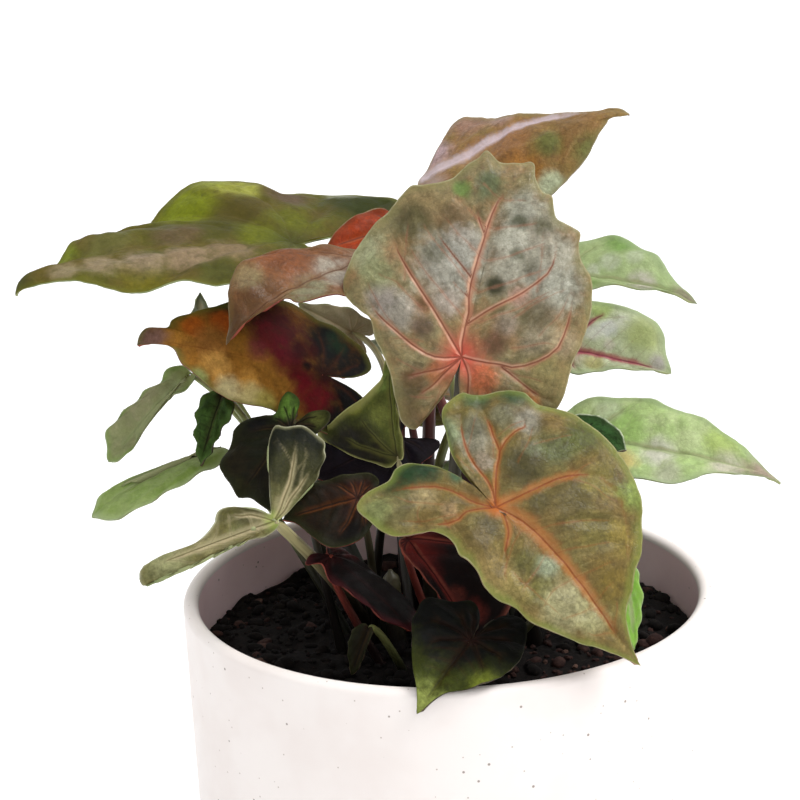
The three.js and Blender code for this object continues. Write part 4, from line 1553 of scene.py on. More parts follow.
# Near-black: partly the dark leaves' own colour, partly painted shade, as they lie deep in the plant.
DARK_GREEN_IN_SHADE = LeafFinish(
    body="#131507", blotch="#1a160a", shade="#080703", bloom="#272613", rim="#23260f", stain="#312413",
    crease="#0d0704", glow="#22160e", under=Underside.DARK, edge="#545539", edge_share=0.4, side_share=0.15,
    stain_share=0.4, ridge_highlight="#4a3822", ridge_highlight_share=0.25, sheen=0.55, gloss=0.1, light="#5a6a20",
    light_share=0.12,
)
RED = LeafFinish(
    body="#9a6048", blotch="#8f7050", shade="#5a3426", bloom="#b5998a", rim="#857044", stain="#b98a72",
    crease="#63382a", glow="#b5664a", under=Underside.RED, light="#d0653a", ridge_highlight_share=0.1,
)
MAROON = LeafFinish(
    body="#3c1214", blotch="#4c1a16", shade="#140a0a", bloom="#6a2c26", rim="#8a4a3c", stain="#7a2a24",
    crease="#200808", glow="#6a1c18", under=Underside.RED, edge="#a5705a", edge_share=0.5, rim_width=1.0,
    sheen=0.5, gloss=0.12, ridge_highlight="#7a4430", ridge_highlight_share=0.2, light="#801818", light_share=0.15,
)
PALE = LeafFinish(
    body="#b0a688", blotch="#9a9174", shade="#7d7258", bloom="#cfc8b0", rim="#b5ab8a", stain="#c4b99a",
    crease="#8a7c5c", glow="#a89a78", light="#d8cfa8", speck_share=0.25, side_share=0.2, crease_share=0.4,
)
# The pale grey patches are partly the leaf's silvery colour and partly painted sheen.
TOP = LeafFinish(
    body="#8a7e58", blotch="#9a714b", shade="#464126", bloom="#bcb7a2", rim="#8c8a54", stain="#d39274",
    crease="#7c3a2a", glow="#d85848", under=Underside.BROWN, edge="#dad5ab", blotch_size=8.0,
    blotch_share=0.6, rim_width=1.8, rim_share=0.35, glow_size=0.13, stain_share=0.65, side_share=0.25,
    sheen=0.34, gloss=0.28, ridge_highlight="#f5caab", ridge_highlight_share=0.5, speck_share=0.5, edge_share=0.45,
    patches=(
        (-.37, .72, .14, "#8c7c54", .8), (-.4, .57, .1, "#565234", .85),
        (-.2, .62, .09, "#65533a", .7), (-.08, .84, .07, "#516242", .8),
        (-.2, .79, .045, "#478835", .6), (-.12, .52, .09, "#a89e92", .9),
        (-.17, .4, .16, "#a8a79b", .85), (-.13, .24, .07, "#aa9e91", .85),
        (-.35, .14, .09, "#a09a8e", .85), (-.45, .18, .07, "#a29991", .75),
        (-.22, .1, .05, "#573d35", .7), (-.25, .46, .06, "#5e5c48", .85),
        (-.24, .2, .04, "#6e4a30", .8), (-.6, .4, .1, "#a1a682", .8),
        (-.5, .3, .08, "#8b956a", .6), (.17, .56, .22, "#a19f90", .8),
        (.35, .42, .13, "#a4a294", .65), (.12, .77, .09, "#a4a493", .85),
        (.12, .69, .045, "#444833", .85), (.22, .7, .045, "#54533a", .8),
        (.11, .6, .07, "#bcbaa8", .85), (.22, .49, .05, "#605e4c", .5),
        (.14, .54, .035, "#545542", .85), (.13, .45, .06, "#aca997", .85),
        (.08, .37, .045, "#32321d", .95), (.2, .35, .05, "#c59988", .7),
        (.4, .44, .09, "#aeae9e", .7), (.3, .28, .09, "#635e47", .75),
        (.17, .2, .06, "#958677", .75), (.14, .1, .06, "#654131", .8),
        (.33, .15, .08, "#968e77", .7), (.34, .61, .07, "#bcbaa8", .7),
        (.46, .18, .07, "#b8a684", .8), (.12, -.07, .08, "#cd6b42", .8),
        (.41, .01, .12, "#8a8050", .8), (.36, -.14, .06, "#c97540", .6),
        (-.09, -.1, .06, "#a8623a", .75), (-.2, -.17, .06, "#5e4228", .85),
        (-.22, -.29, .1, "#665a38", .8),
    ),
)
# The pale silver-grey patches on the lobes are partly the leaf's silvery colour and partly painted sheen.
FRONT_RIGHT = LeafFinish(
    body="#786c3c", blotch="#7c6236", shade="#443e20", bloom="#9c956c", rim="#7f8f3c", stain="#c2783e",
    crease="#833b1a", glow="#c26a2e", under=Underside.BROWN, edge="#d3cb9e", edge_share=0.5,
    blotch_share=0.6, rim_width=1.7, rim_share=0.55, glow_size=0.06, stain_share=0.62, side_share=0.15,
    sheen=0.36, gloss=0.24, ridge_highlight="#cf9460", ridge_highlight_share=0.3, speck_share=0.55,
    patches=(
        (-.17, -.3, .08, "#918d7a", .85), (-.22, -.35, .06, "#66644e", .85),
        (-.12, -.2, .05, "#9e8f7c", .8), (-.42, -.2, .07, "#918d7e", .85),
        (-.36, -.3, .06, "#7c7d64", .75), (-.5, -.36, .09, "#324c34", .9),
        (-.36, -.46, .07, "#37523a", .85), (-.1, -.43, .08, "#7e8c68", .85),
        (-.24, -.05, .1, "#484428", .9), (-.41, .0, .08, "#5e6840", .8),
        (-.33, -.08, .04, "#767b5e", .7), (-.56, .04, .09, "#545c26", .9),
        (-.16, .12, .06, "#534c28", .85), (-.28, .2, .1, "#615730", .8),
        (-.45, .24, .08, "#847a40", .8), (-.25, .42, .09, "#756c38", .8),
        (-.15, .62, .1, "#74622a", .85), (-.54, .4, .08, "#8ca052", .85),
        (-.33, .52, .08, "#8f7c3a", .6), (.04, .36, .06, "#8e9a7c", .8),
        (.1, .28, .06, "#5d5c30", .7), (.13, .42, .06, "#757338", .7),
        (.09, .55, .12, "#a6a278", .8), (.04, .68, .07, "#a09d70", .75),
        (.1, .04, .05, "#5b5234", .8), (.17, .06, .05, "#6b5c3a", .75),
        (.24, .2, .09, "#978250", .75), (.2, .32, .06, "#978750", .7),
        (.33, -.33, .1, "#746e46", .85), (.42, -.38, .07, "#89935c", .8),
        (.21, -.27, .06, "#a8966c", .7), (.19, -.44, .1, "#203c1c", 1.0),
        (.1, -.37, .08, "#203c20", 1.0), (.02, -.24, .04, "#3d5c40", .9),
        (.17, -.14, .04, "#a88c64", .8),
    ),
)
# The pale lavender stain along the midrib is a painted highlight where the blade folds along it.
BACK_TOP = replace(
    RED, body="#956f40", blotch="#88763e", shade="#5f4e2f", bloom="#ab9673", rim="#847c4d", stain="#d9cad1",
    crease="#beadaf", glow="#ae9c95", edge="#cbc2af", side_share=0.0, stain_share=0.85, crease_share=0.0,
    patches=(
        (-.25, .05, .09, "#bba2a6", .85), (-.4, .3, .13, "#997662", .85),
        (-.3, .42, .06, "#af9389", .7), (-.1, .22, .07, "#a68360", .7),
        (-.08, .42, .09, "#8f6438", .8), (-.05, .72, .1, "#85673e", .8),
        (.03, .58, .06, "#667038", .85), (.12, .42, .1, "#ab7633", .8),
        (.22, .52, .07, "#bac6a2", .9), (.14, .75, .08, "#6a763e", .8),
    ),
)
# The beige patches beside the midrib are painted sheen on the half that turns down; the bright lime ones are
# partly painted light shining through the blade.
LEFT_LONG = replace(
    GREEN, body="#635e22", blotch="#69532c", shade="#3f3b15", bloom="#908849", rim="#707028",
    stain="#74693c", crease="#493b20", glow="#4e5124", edge="#aca66c", gloss=0.15, sheen=0.5,
    speck_share=0.35, side_share=0.15, stain_share=0.15, crease_share=0.2, ridge_highlight_share=0.0, light="#b8c81c",
    light_share=0.4,
    patches=(
        (.33, .27, .12, "#838c1c", .95), (.4, .07, .08, "#aaaa4b", .9),
        (.47, .15, .06, "#959a40", .85), (.2, .12, .12, "#554820", .9),
        (.06, .1, .09, "#747a1e", .8), (.12, .24, .09, "#504c20", .9),
        (.14, -.05, .09, "#6b6e1e", .85), (.25, -.35, .14, "#2c3314", .95),
        (.37, -.32, .06, "#959580", .9), (.35, -.1, .08, "#634a3c", .9),
        (.1, .38, .08, "#6b5340", .85), (.2, .42, .07, "#605934", .8),
        (.15, .6, .08, "#6d693c", .7), (.18, .76, .05, "#859228", .9),
        (-.07, .25, .08, "#927a5f", .95), (-.09, .4, .08, "#9c836a", .95),
        (-.08, .55, .07, "#9e8870", .95), (-.06, .68, .06, "#9f8a70", .9),
        (-.05, .8, .05, "#9a886c", .9), (-.22, .58, .08, "#74691a", .9),
        (-.22, .34, .07, "#535322", .85), (.02, .95, .06, "#53512f", .9),
    ),
)
LEFT_DROOPING = replace(
    RED, body="#875934", blotch="#784e2d", shade="#583820", bloom="#997755", rim="#68542f", stain="#8e6541",
    crease="#583a22", glow="#8a7f6b", edge="#a3916b", sheen=0.34, side_share=0.2, stain_share=0.4,
    patches=(
        (.2, .4, .14, "#7e4824", .85), (-.02, .22, .12, "#a09888", .95),
        (-.06, .42, .09, "#827f62", .95), (-.1, .55, .08, "#747753", .9),
        (.05, .68, .12, "#5e4226", .85), (.2, .66, .08, "#96946c", .5),
        (.0, .95, .22, "#4e381e", .95),
    ),
)
SMALL_RED = replace(
    RED, body="#a84018", blotch="#8a3416", shade="#5a2410", bloom="#c05a30", rim="#7a4020", stain="#b85a34",
    light="#e05018", light_share=0.35, gloss=0.2,
)
# The near-black patches are painted shade on the lobe that lies in shadow; the pale yellowish ones along the
# lower edge are painted sheen.
LEFT_RED = replace(
    RED, body="#8a5c20", blotch="#966826", shade="#4a3014", bloom="#b38646", rim="#5c5f2a", stain="#a0521e",
    crease="#4a200e", glow="#1c080a", edge="#a0a070", edge_share=0.4, gloss=0.08, sheen=0.5, side_share=0.0,
    stain_share=0.05, crease_share=0.15, ridge_highlight_share=0.0, light="#a04010", light_share=0.05,
    speck_share=0.35,
    patches=(
        (.0, -.25, .28, "#0a0c0c", 1.0), (.2, -.05, .16, "#0a0d0c", 1.0),
        (.22, -.1, .06, "#1c3420", .6), (-.3, -.1, .2, "#0c0b0a", 1.0),
        (.32, .38, .16, "#2c110c", .95), (.22, .22, .12, "#3c0a14", .95),
        (.13, .3, .1, "#581018", .95), (.05, .2, .1, "#580c1c", .95),
        (.12, .1, .08, "#300408", .95), (-.02, .12, .07, "#480810", .95),
        (-.12, .05, .11, "#640a18", .95), (.05, .36, .06, "#6a2430", .7),
        (.02, .09, .025, "#080404", .95), (.3, .55, .14, "#2e2414", .9),
        (.17, .55, .07, "#9c4a18", .9), (.12, .7, .06, "#a8541c", .9),
        (.05, .6, .09, "#86582a", .8), (-.08, .58, .07, "#cf9c50", .85),
        (-.13, .4, .06, "#c08a3c", .85), (-.2, .5, .07, "#c8c090", .7),
        (-.21, .38, .07, "#bcb47c", .7), (-.16, .66, .05, "#98a868", .8),
        (-.22, .3, .06, "#a09448", .85), (.02, .93, .09, "#6c5048", .95),
    ),
)
# The near-black patch over the lobe, and the dark one beside it, are painted shade: that lobe lies in shadow.
FRONT_LEFT = replace(
    OLIVE, body="#6c653c", blotch="#6c7049", shade="#38351f", bloom="#94916f", rim="#8c8a66",
    stain="#a99f7a", crease="#584f32", glow="#8c9e4a", edge="#d8d6bc", edge_share=0.5, rim_width=0.7,
    stain_share=0.75, glow_size=0.08, gloss=0.1, sheen=0.5, light_share=0.08, ridge_highlight_share=0.25,
    under=Underside.GREEN,
    patches=(
        (.55, -.34, .42, "#10130a", 1.0), (.32, -.3, .16, "#34341c", .9),
        (.46, -.58, .05, "#60614a", .7), (.1, -.1, .06, "#8a8460", .8),
        (.13, .16, .12, "#3e3a20", .9), (.18, .33, .1, "#4a4620", .85),
        (.02, .5, .08, "#8f8860", .8), (.03, .8, .14, "#8a8a62", .85),
    ),
)
# The near-black patches are painted shade on the lower side of the curled blade.
CURLED = replace(
    DARK_GREEN_IN_SHADE, body="#565e21", blotch="#4a4d1b", shade="#2e2f11", bloom="#959949", rim="#a2a25e",
    stain="#86883c", crease="#2b2b13", glow="#3e3c1b", edge="#e8e8a0", edge_share=0.7, rim_width=1.5,
    rim_share=0.8, gloss=0.2,
    patches=(
        (-.5, .05, .32, "#1e1913", .95), (-.2, .02, .16, "#241f12", .9),
        (-.12, .4, .1, "#717734", .8), (-.42, .5, .08, "#828534", .8),
        (-.1, .75, .12, "#70853c", .8),
    ),
)
# Its near-black patches are painted shade; the two green patches are its lobes.
LEFT_DARK = replace(
    DARK_GREEN_IN_SHADE,
    patches=(
        (.2, -.22, .17, "#5f8232", .95), (-.2, -.3, .14, "#565a2a", .9),
        (.0, .12, .12, "#15150a", .9), (.3, .7, .2, "#1c1708", .85),
        (.05, .9, .12, "#22210a", .8), (.4, .15, .14, "#050506", .95),
        (-.1, .6, .1, "#0d0804", .9),
    ),
)
# Near-black body and patches: the leaf's dark colour with painted shade over it, deep in the plant.
MIDDLE_DARK = replace(
    DARK_GREEN_IN_SHADE, body="#161106", blotch="#1c0f05", stain="#4a2911", bloom="#2c200e", glow="#542e21",
    glow_size=0.14, stain_share=0.7, ridge_highlight="#70401f", ridge_highlight_share=0.4, under=Underside.RED,
    patches=(
        (.05, -.05, .2, "#2c0e08", .9), (-.2, .15, .12, "#1d0b05", .85),
        (.1, .3, .12, "#221207", .8), (-.5, .2, .2, "#060403", .9),
        (.0, .8, .16, "#201f09", .85),
    ),
)
# The near-black body is painted shade inside the cupped blade.
ARCHED = replace(
    MAROON, body="#0a0606", blotch="#100808", shade="#050404", bloom="#160c0c", rim="#3c1014",
    stain="#160a0a", rim_width=2.2, rim_share=0.95, glow="#3a1414", edge="#4a201c", light_share=0.05,
    ridge_highlight_share=0.0,
    patches=((-.25, -.05, .16, "#4c1618", .9),),
)
# The near-black body is painted shade in the leaf's hollow; the crimson band along the midrib is its own
# colour.
UNDER = replace(
    MAROON, body="#0e0708", blotch="#140909", bloom="#20100e", glow="#5f1812", glow_size=0.3,
    light_share=0.08, ridge_highlight="#8f5a44", ridge_highlight_share=0.3, side_share=0.0,
    patches=(
        (.0, .15, .12, "#4a100f", .95), (-.02, .35, .08, "#340c0a", .9),
        (-.04, .6, .08, "#52221a", .9), (-.1, .78, .1, "#5f2620", .95),
    ),
)
# The large near-black patches are painted shade over the upper part, where the leaf lies in shadow.
FRONT_LOW = replace(
    DARK_GREEN_IN_SHADE, body="#3b4210", blotch="#343a10", bloom="#4c5420", shade="#20240a", rim="#4c5418",
    stain="#40200f", glow="#2c120c", rim_width=1.2, rim_share=0.0, edge="#3a4018", edge_share=0.15,
    ridge_highlight="#40220f", ridge_highlight_share=0.1, stain_share=0.15, crease_share=0.4,
    patches=(
        (.0, .95, .26, "#88924a", .95), (-.42, .36, .16, "#76802a", .9),
        (.05, .08, .36, "#14120a", .95), (.48, -.12, .6, "#060705", 1.0),
        (-.3, -.42, .7, "#060705", 1.0),
    ),
)
# The pale silvery patches on the three right leaves are partly their silvery colour and partly painted sheen.
RIGHT_UPPER = replace(
    GREEN, body="#adbe87",
    patches=(
        (-.32, .38, .1, "#7aa050", .8), (-.2, .5, .06, "#c4c8b4", .5),
        (-.13, .35, .07, "#c6ccb4", .7), (-.05, .25, .05, "#d0d2c0", .6),
        (.0, .6, .09, "#c6bbb4", .8), (.05, .25, .06, "#95b269", .9),
        (-.3, .65, .06, "#909e78", .8), (.0, .93, .12, "#a39084", .9),
    ),
)
RIGHT_MIDDLE = replace(
    GREEN, body="#c4cba8", blotch="#b6bc92", stain="#b0305a", crease="#721440", glow="#b02b5e",
    glow_size=0.2, side_share=0.0, stain_share=0.9, crease_share=0.7,
    patches=(
        (-.25, .36, .08, "#d0cfd0", .75), (-.33, .48, .07, "#c8c8bc", .7),
        (-.19, .24, .07, "#cccac4", .7), (-.42, .26, .1, "#a8bc6c", .85),
        (-.25, .66, .16, "#a2ac68", .75), (-.1, .4, .05, "#c8bcb4", .6),
        (.1, .3, .08, "#b3ab72", .9), (-.05, .85, .08, "#ada2a4", .8),
    ),
)
RIGHT_LOWER = replace(
    GREEN, body="#bad28c", blotch="#cfdaa6",
    patches=(
        (-.08, .2, .12, "#a4cc6c", .7), (-.18, .08, .07, "#c8ccb8", .5),
        (.02, .38, .08, "#dfdacf", .85), (.12, .22, .07, "#d9c27c", .85),
        (.15, .45, .07, "#c2c2ac", .7), (-.12, .68, .1, "#b0c468", .7),
        (.03, .72, .08, "#dbcfc3", .8), (.0, .93, .12, "#b49b90", .9),
    ),
)
# Near-black all over: painted shade that fills the dark middle of the plant behind the other leaves.
SHADED = replace(
    DARK_GREEN_IN_SHADE, body="#15101a", blotch="#1a1216", bloom="#241c22", rim="#1c1618", stain="#241420",
    edge="#2c2428", under=Underside.RED,
)
LEFT_HANGING = replace(
    GREEN, body="#9a9d70", blotch="#b4ab8c", shade="#6c7046", rim="#8cac58", bloom="#c8c4a4",
)
LEFT_STRAP = replace(GREEN, body="#8aa350", blotch="#a6b578", shade="#607c30", rim="#bccb98")
RIGHT_SLIVER = replace(GREEN, body="#7fb03e", blotch="#8fc04c", rim="#a8cc70")
LEFT_BEHIND = replace(PALE, body="#6a705c", blotch="#7d826c", rim="#5a604c")
LEFT_WAVY = replace(DARK_GREEN_IN_SHADE, body="#2c4416", blotch="#405a26", rim="#4f6a30")
RIGHT_DARK = replace(DARK_GREEN_IN_SHADE, body="#3c6230", blotch="#2c4a24", edge="#c8d2b0", edge_share=0.9)
BACK_2 = replace(OLIVE, body="#6a6440", blotch="#745236")
BACK_3 = replace(GREEN, body="#6a7c40", blotch="#7c8c4c")
BACK_4 = replace(OLIVE, body="#74603f")
BACK_5 = replace(RED, body="#80684e", blotch="#6f7448")
BACK_6 = replace(GREEN, body="#68783c", blotch="#7d7a48")


# ---- the leaves

LEAVES = (
    Leaf(
        "leaf_top", "leaf_olive", TOP, (4.4, -26, 193.2), (18.3, -8, 237.4), (-.05, -.97, .24),
        ((3, 1.01), (5, 1.034), (6.5, 1.02), (7.8, .959), (10, .914), (12.3, .89), (15.1, .9),
            (17.8, .85), (20.9, .813), (26, .823), (29.7, .829), (32.9, .774), (39.5, .739),
            (45, .735), (53.3, .686), (60.8, .636), (69.1, .589), (78.3, .541), (89, .53), (101, .53),
            (108, .51), (122, .47), (138, .45), (152, .44), (164, .33), (173, .12)),
        ((2.3, .985), (4.1, .99), (7.3, 1.028), (9.5, .98), (12.6, .943), (17, .88), (20.7, .86),
            (26.9, .863), (31, .875), (35.8, .838), (40.4, .8), (50.3, .767), (58.2, .741),
            (67.7, .713), (74.8, .668), (77.8, .614), (79.5, .541), (82, .48), (92.7, .425),
            (109, .365), (129, .366), (144, .408), (152, .43), (160.7, .424), (163.5, .357),
            (166, .27), (171, .17)),
        (-2.2, -3.8), (-.2, -10.3, 127.4), (4.1, -24.8, 189.1), 2.2, notch=0.03, bend=15, hook=20,
        hook_from=0.8, cup=(-18, -18), lobe_bend=25, cell=0.5, quilt=1.0, ruffle=0.45, waves=8, scallop=0.4,
        basal=((30, 57, 82, 122, 150), (47, 77, 115, 150)), stalk=StalkKind.DARK,
        drawn=(
            Nerve(((0, 0), (-.02, .1), (-.018, .2), (-.04, .3), (-.045, .4), (-.04, .5),
                (-.035, .6), (-.03, .7), (-.01, .8), (.03, .88), (.07, .98)), 1.5),
            Nerve(((0, 0), (-.08, .08), (-.185, .185), (-.3, .29), (-.415, .405), (-.47, .49),
                (-.45, .56)), 1.1),
            Nerve(((0, 0), (-.125, -.03), (-.235, -.005), (-.33, .04), (-.46, .11),
                (-.54, .2)), 1.0),
            Nerve(((0, 0), (-.07, -.07), (-.17, -.12), (-.23, -.15), (-.32, -.17)), 1.6, .6),
            Nerve(((0, 0), (-.06, -.09), (-.1, -.16), (-.15, -.22), (-.2, -.3)), 1.6, .6),
            Nerve(((-.015, .16), (.07, .25), (.13, .3), (.2, .36), (.26, .43), (.31, .5),
                (.32, .58), (.3, .66), (.25, .72)), .9, .85),
            Nerve(((0, 0), (.1, 0), (.17, .01), (.25, .01), (.32, .04), (.39, .09), (.44, .15),
                (.455, .22), (.46, .33), (.44, .45), (.4, .52)), 1.0, .85),
            Nerve(((0, 0), (.05, -.07), (.07, -.16), (.08, -.26)), 1.8, .7),
            Nerve(((.2, .0), (.31, -.05), (.38, -.08), (.47, -.1)), 1.0, .7),
            Nerve(((-.045, .38), (-.11, .43), (-.19, .49), (-.26, .55), (-.27, .61)), .7, .7),
            Nerve(((-.035, .6), (-.07, .65), (-.11, .72)), .9, .7),
            Nerve(((-.04, .29), (-.1, .32), (-.16, .36)), .6, .5),
        ),
    ),
    Leaf(
        "leaf_front_right", "leaf_olive", FRONT_RIGHT, (10.5, -54, 163.8), (42.8, -66, 128.1),
        (.1, -.8, .6),
        ((3.9, .882), (8.7, .789), (11.5, .755), (16, .687), (21.6, .624), (28.9, .56), (35.7, .48),
            (45, .438), (53.3, .393), (60, .34), (72.2, .294), (81, .289), (92, .27), (103, .277),
            (111.5, .323), (114, .38), (116, .45), (118, .5), (121.3, .538), (126, .575), (133, .64),
            (137, .644), (141.6, .612), (144.5, .58), (150, .52), (157, .51), (163, .47),
            (167.3, .41), (171.9, .354), (175.8, .27), (178, .2)),
        ((1.2, .92), (4, .84), (8.1, .778), (16.5, .74), (22.2, .713), (30.1, .717), (43, .704),
            (49, .702), (56.8, .693), (66.6, .681), (72.6, .67), (78.6, .658), (84.6, .643),
            (91.8, .63), (98.3, .626), (105.4, .602), (113.5, .578), (121.4, .615), (131.4, .613),
            (139.4, .592), (145.2, .596), (149.7, .614), (158.7, .579), (163, .528), (165.3, .455),
            (170.5, .365), (174, .29), (176.5, .2)),
        (22, -7.6), (24.8, -11.2, 125.1), (5.1, -34.8, 161.7), 2.2, notch=0.03, bend=25, fold=(6, 6),
        cup=(-12, -12), lobe_bend=20, cell=0.5, quilt=0.9, ruffle=0.35, waves=7, scallop=0.35,
        basal=((26, 112, 128), (61, 100, 127, 156)), stalk=StalkKind.DARK,
        drawn=(
            Nerve(((0, 0), (-.03, .08), (-.05, .17), (-.05, .26), (-.05, .35), (-.045, .44),
                (-.035, .54), (-.025, .64), (-.01, .75), (0, .97)), 2.6),
            Nerve(((0, 0), (-.06, -.06), (-.14, -.13), (-.215, -.18), (-.25, -.25), (-.29, -.32),
                (-.31, -.38), (-.35, -.44)), 1.1),
            Nerve(((-.215, -.18), (-.28, -.2), (-.35, -.2), (-.4, -.19), (-.43, -.25)), 1.1, .8),
            Nerve(((0, 0), (-.05, -.07), (-.07, -.14), (-.09, -.24), (-.12, -.31), (-.18, -.4),
                (-.26, -.48)), .8, .9),
            Nerve(((0, 0), (-.095, .03), (-.185, .06), (-.285, .09), (-.37, .13), (-.45, .2),
                (-.5, .28)), 2.2, .85),
            Nerve(((0, 0), (.04, -.06), (.07, -.13), (.09, -.2), (.13, -.27), (.2, -.33),
                (.28, -.39), (.38, -.44)), 1.4, .65),
            Nerve(((0, 0), (.06, -.045), (.12, -.08), (.18, -.08), (.25, -.12),
                (.32, -.2)), 1.4, .7),
            Nerve(((.0, .05), (.02, .09), (.05, .13), (.11, .17), (.16, .2)), 1.4, .9),
            Nerve(((-.47, .24), (-.47, .36), (-.4, .48), (-.27, .62), (-.13, .77)), 1.2, .35),
        ),
    ),
    Leaf(
        "leaf_back_top", "leaf_red", BACK_TOP, (-.7, 24, 226.1), (51.8, 26, 243.9), (.1, -.75, .65),
        ((.5, .95), (.8, .885), (2.2, .86), (5.7, .804), (11.3, .739), (16.9, .674), (24, .6),
            (40, .47), (54, .37), (80, .34), (106, .38), (130, .44), (152, .42), (164, .32)),
        ((3.2, .985), (4.4, .92), (5, .865), (8.8, .759), (18.3, .653), (29.2, .584), (41.5, .521),
            (56, .526), (64, .537), (70, .48), (75, .33), (88.4, .18), (120, .12)),
        (-13.2, 22.8), (.4, 1.7, 144.1), (-4.1, 26.7, 200.6), 2.2, bend=10, hook=45, hook_from=0.7,
        fold=(-8, -25), cell=0.65, stalk=StalkKind.RED,
        drawn=(
            Nerve(((-.12, -.02), (-.12, .06), (-.12, .14), (-.125, .2), (-.155, .31),
                (-.185, .475), (-.16, .595), (-.096, .77), (-.03, .95)), 2.6),
        ),
    ),
    Leaf(
        "leaf_left_long", "leaf_green", LEFT_LONG, (-37.8, 16, 214.7), (-105.8, -12, 208.8),
        (0, -.21, .98),
        ((2.4, .905, -.04), (8.5, .826, -.105), (17.4, .745, -.082), (25, .697, -.132),
            (31.5, .66, -.172), (35, .637, -.155), (39.5, .612, -.176), (43.5, .596, -.193),
            (51, .57, -.172), (56, .556, -.128), (62, .54, -.098), (70, .521, -.07),
            (78, .506, -.064), (88, .49, -.058), (95, .477, -.05), (106, .46, -.072),
            (122, .48, -.05), (138, .51, .006), (150, .545, .05), (158, .49, .05),
            (166, .33, .03)),
        ((2.3, .934, -.02), (5.3, .861, -.027), (10, .77, -.027), (14, .703, -.053),
            (17.2, .651, -.075), (20.3, .608, -.074), (24.4, .558, -.037), (28.3, .517, -.026),
            (32, .487, -.04), (37, .451, -.056), (43, .407, -.05), (54, .34, -.06), (70, .27, .02),
            (88, .21), (122, .13)),
        (-13.2, 0), (-22.5, -10.6, 141.6), (-54.6, 20.8, 179.2), 2.3, bend=15, hook=80, hook_from=0.8,
        fold=(14, 4), cup=(0, 0), cell=0.65, stalk=StalkKind.GREEN,
    ),
    Leaf(
        "leaf_left_drooping", "leaf_red", LEFT_DROOPING, (-19.3, -4.6, 213.1), (-52.6, -27.6, 198.5),
        (-.1, -.7, .7),
        ((4, .9), (18, .77), (28, .63), (45, .3), (80, .14), (130, .1)),
        ((4, .61), (10, .54), (40, .32), (70, .27), (90, .2), (130, .12)),
        (15.4, -11.4), (15.4, 3.9, 134.2), (-6.2, 5.9, 199.7), 1.8, bend=30, hook=50, hook_from=0.5,
        fold=(5, 5), cell=0.65, stalk=StalkKind.RED, basal=((40,), (45, 80)),
    ),
    Leaf(
        "leaf_small_red", "leaf_red", SMALL_RED, (-10, 16, 217.7), (-29.3, 9, 213.9), (-.3, -.81, .51),
        ((18, .73), (45, .45), (70, .31), (106, .24), (130, .38), (152, .42)),
        ((10, .9), (18, .69), (45, .36), (80, .3), (130, .38), (152, .42)),
        (-6.6, 11.4), (1.6, 8.2, 151), (-20.1, 11.7, 203.1), stalk=StalkKind.RED,
    ),
    Leaf(
        "leaf_left_red", "leaf_red", LEFT_RED, (-30.9, 2, 182.7), (-76.7, -10, 195), (-.1, -.75, .65),
        ((2.5, .99), (4.9, .95), (5.3, .885), (6.2, .84), (9.8, .825), (15.2, .746), (24.2, .647),
            (40, .55), (70, .43), (88, .34), (106, .33), (138, .36), (158, .33), (170, .2)),
        ((.5, .97), (.8, .9), (1.2, .82), (2.9, .79), (7.2, .766), (10, .73), (18, .63), (28, .52),
            (40, .39), (60, .31), (88, .3), (115, .36), (138, .41), (156, .38), (168, .24)),
        (-22, 7.6), (-26.1, 2.8, 134.9), (-30.3, 9.3, 174.2), 1.9, bend=15, hook=60, hook_from=0.75,
        fold=(-4, -4), cup=(-12, -12), cell=0.6, quilt=0.12, stalk=StalkKind.RED,
    ),
    Leaf(
        "leaf_left_hanging", "leaf_green", LEFT_HANGING, (-67.9, 22, 178.2), (-90.2, 16, 156.5),
        (-.41, -.82, .41),
        ((9, .9), (13, .82), (16.4, .68), (20, .53), (27, .39), (36, .25), (62, .19), (110, .11)),
        ((4.5, .93), (8.3, .8), (7, .69), (1.2, .6), (1.2, .36), (3.5, .27), (9, .21), (38, .146),
            (130, .08)),
        (-13.2, 7.6), (-17.8, 5.7, 120.2), (-59.5, 30.9, 175.5), bend=15, basal=((), ()), ruffle=0.9,
    ),
    Leaf(
        "leaf_left_strap", "leaf_green", LEFT_STRAP, (-59.8, 5, 162.8), (-92, -8, 149.2),
        (-.37, -.56, .74),
        ((3, .93), (5, .86), (5.4, .8), (2, .67), (1.2, .54), (1.5, .33), (4, .2), (26, .06)),
        ((10, .92), (18, .8), (28, .52), (45, .29), (70, .2), (120, .12)),
        (-22, 0), (-32.5, 2, 125.4), (-53.7, 10.5, 158.4), hook=20, basal=((), ()), ruffle=0.7,
    ),
    Leaf(
        "leaf_front_left", "leaf_olive", FRONT_LEFT, (-42, -44, 158.9), (-73.2, -55, 151.4),
        (-.3, -.89, .35),
        ((1.6, .955), (2.4, .88), (3.3, .82), (3.8, .72), (6, .54), (17, .42), (25, .41),
            (31.5, .393), (40, .313), (46, .21), (58, .1), (78, .06), (96, .08), (103, .2),
            (106, .4), (108, .54), (110, .64), (113, .71), (119, .7), (127, .75), (134, .743),
            (143, .707), (146, .64), (149.6, .603), (152, .52), (155.9, .455), (157, .34), (160, .24),
            (168, .12)),
        ((4.6, 1.03), (6.8, 1.02), (7.6, .95), (8.4, .83), (9.9, .654), (12.4, .438), (25, .188),
            (51, .128), (110, .06)),
        (-17.1, 4.1), (-21, 4.5, 114), (-31, -27, 140.5), 2.1, bend=10, lobe_bend=0, fold=(5, -40), cell=0.6,
        stalk=StalkKind.PALE, basal=((26, 126, 146), ()), ruffle=0.8, waves=7,
    ),
    Leaf(
        "leaf_curled", "leaf_green", CURLED, (-12.2, -17, 165.8), (-13.6, -12, 191.5), (-.47, -.83, .31),
        NARROW,
        ((4, .86), (7.4, .736), (27.2, .658), (49.1, .702), (67.1, .809), (75.6, .93), (84, .7),
            (104, .3), (138, .16)),
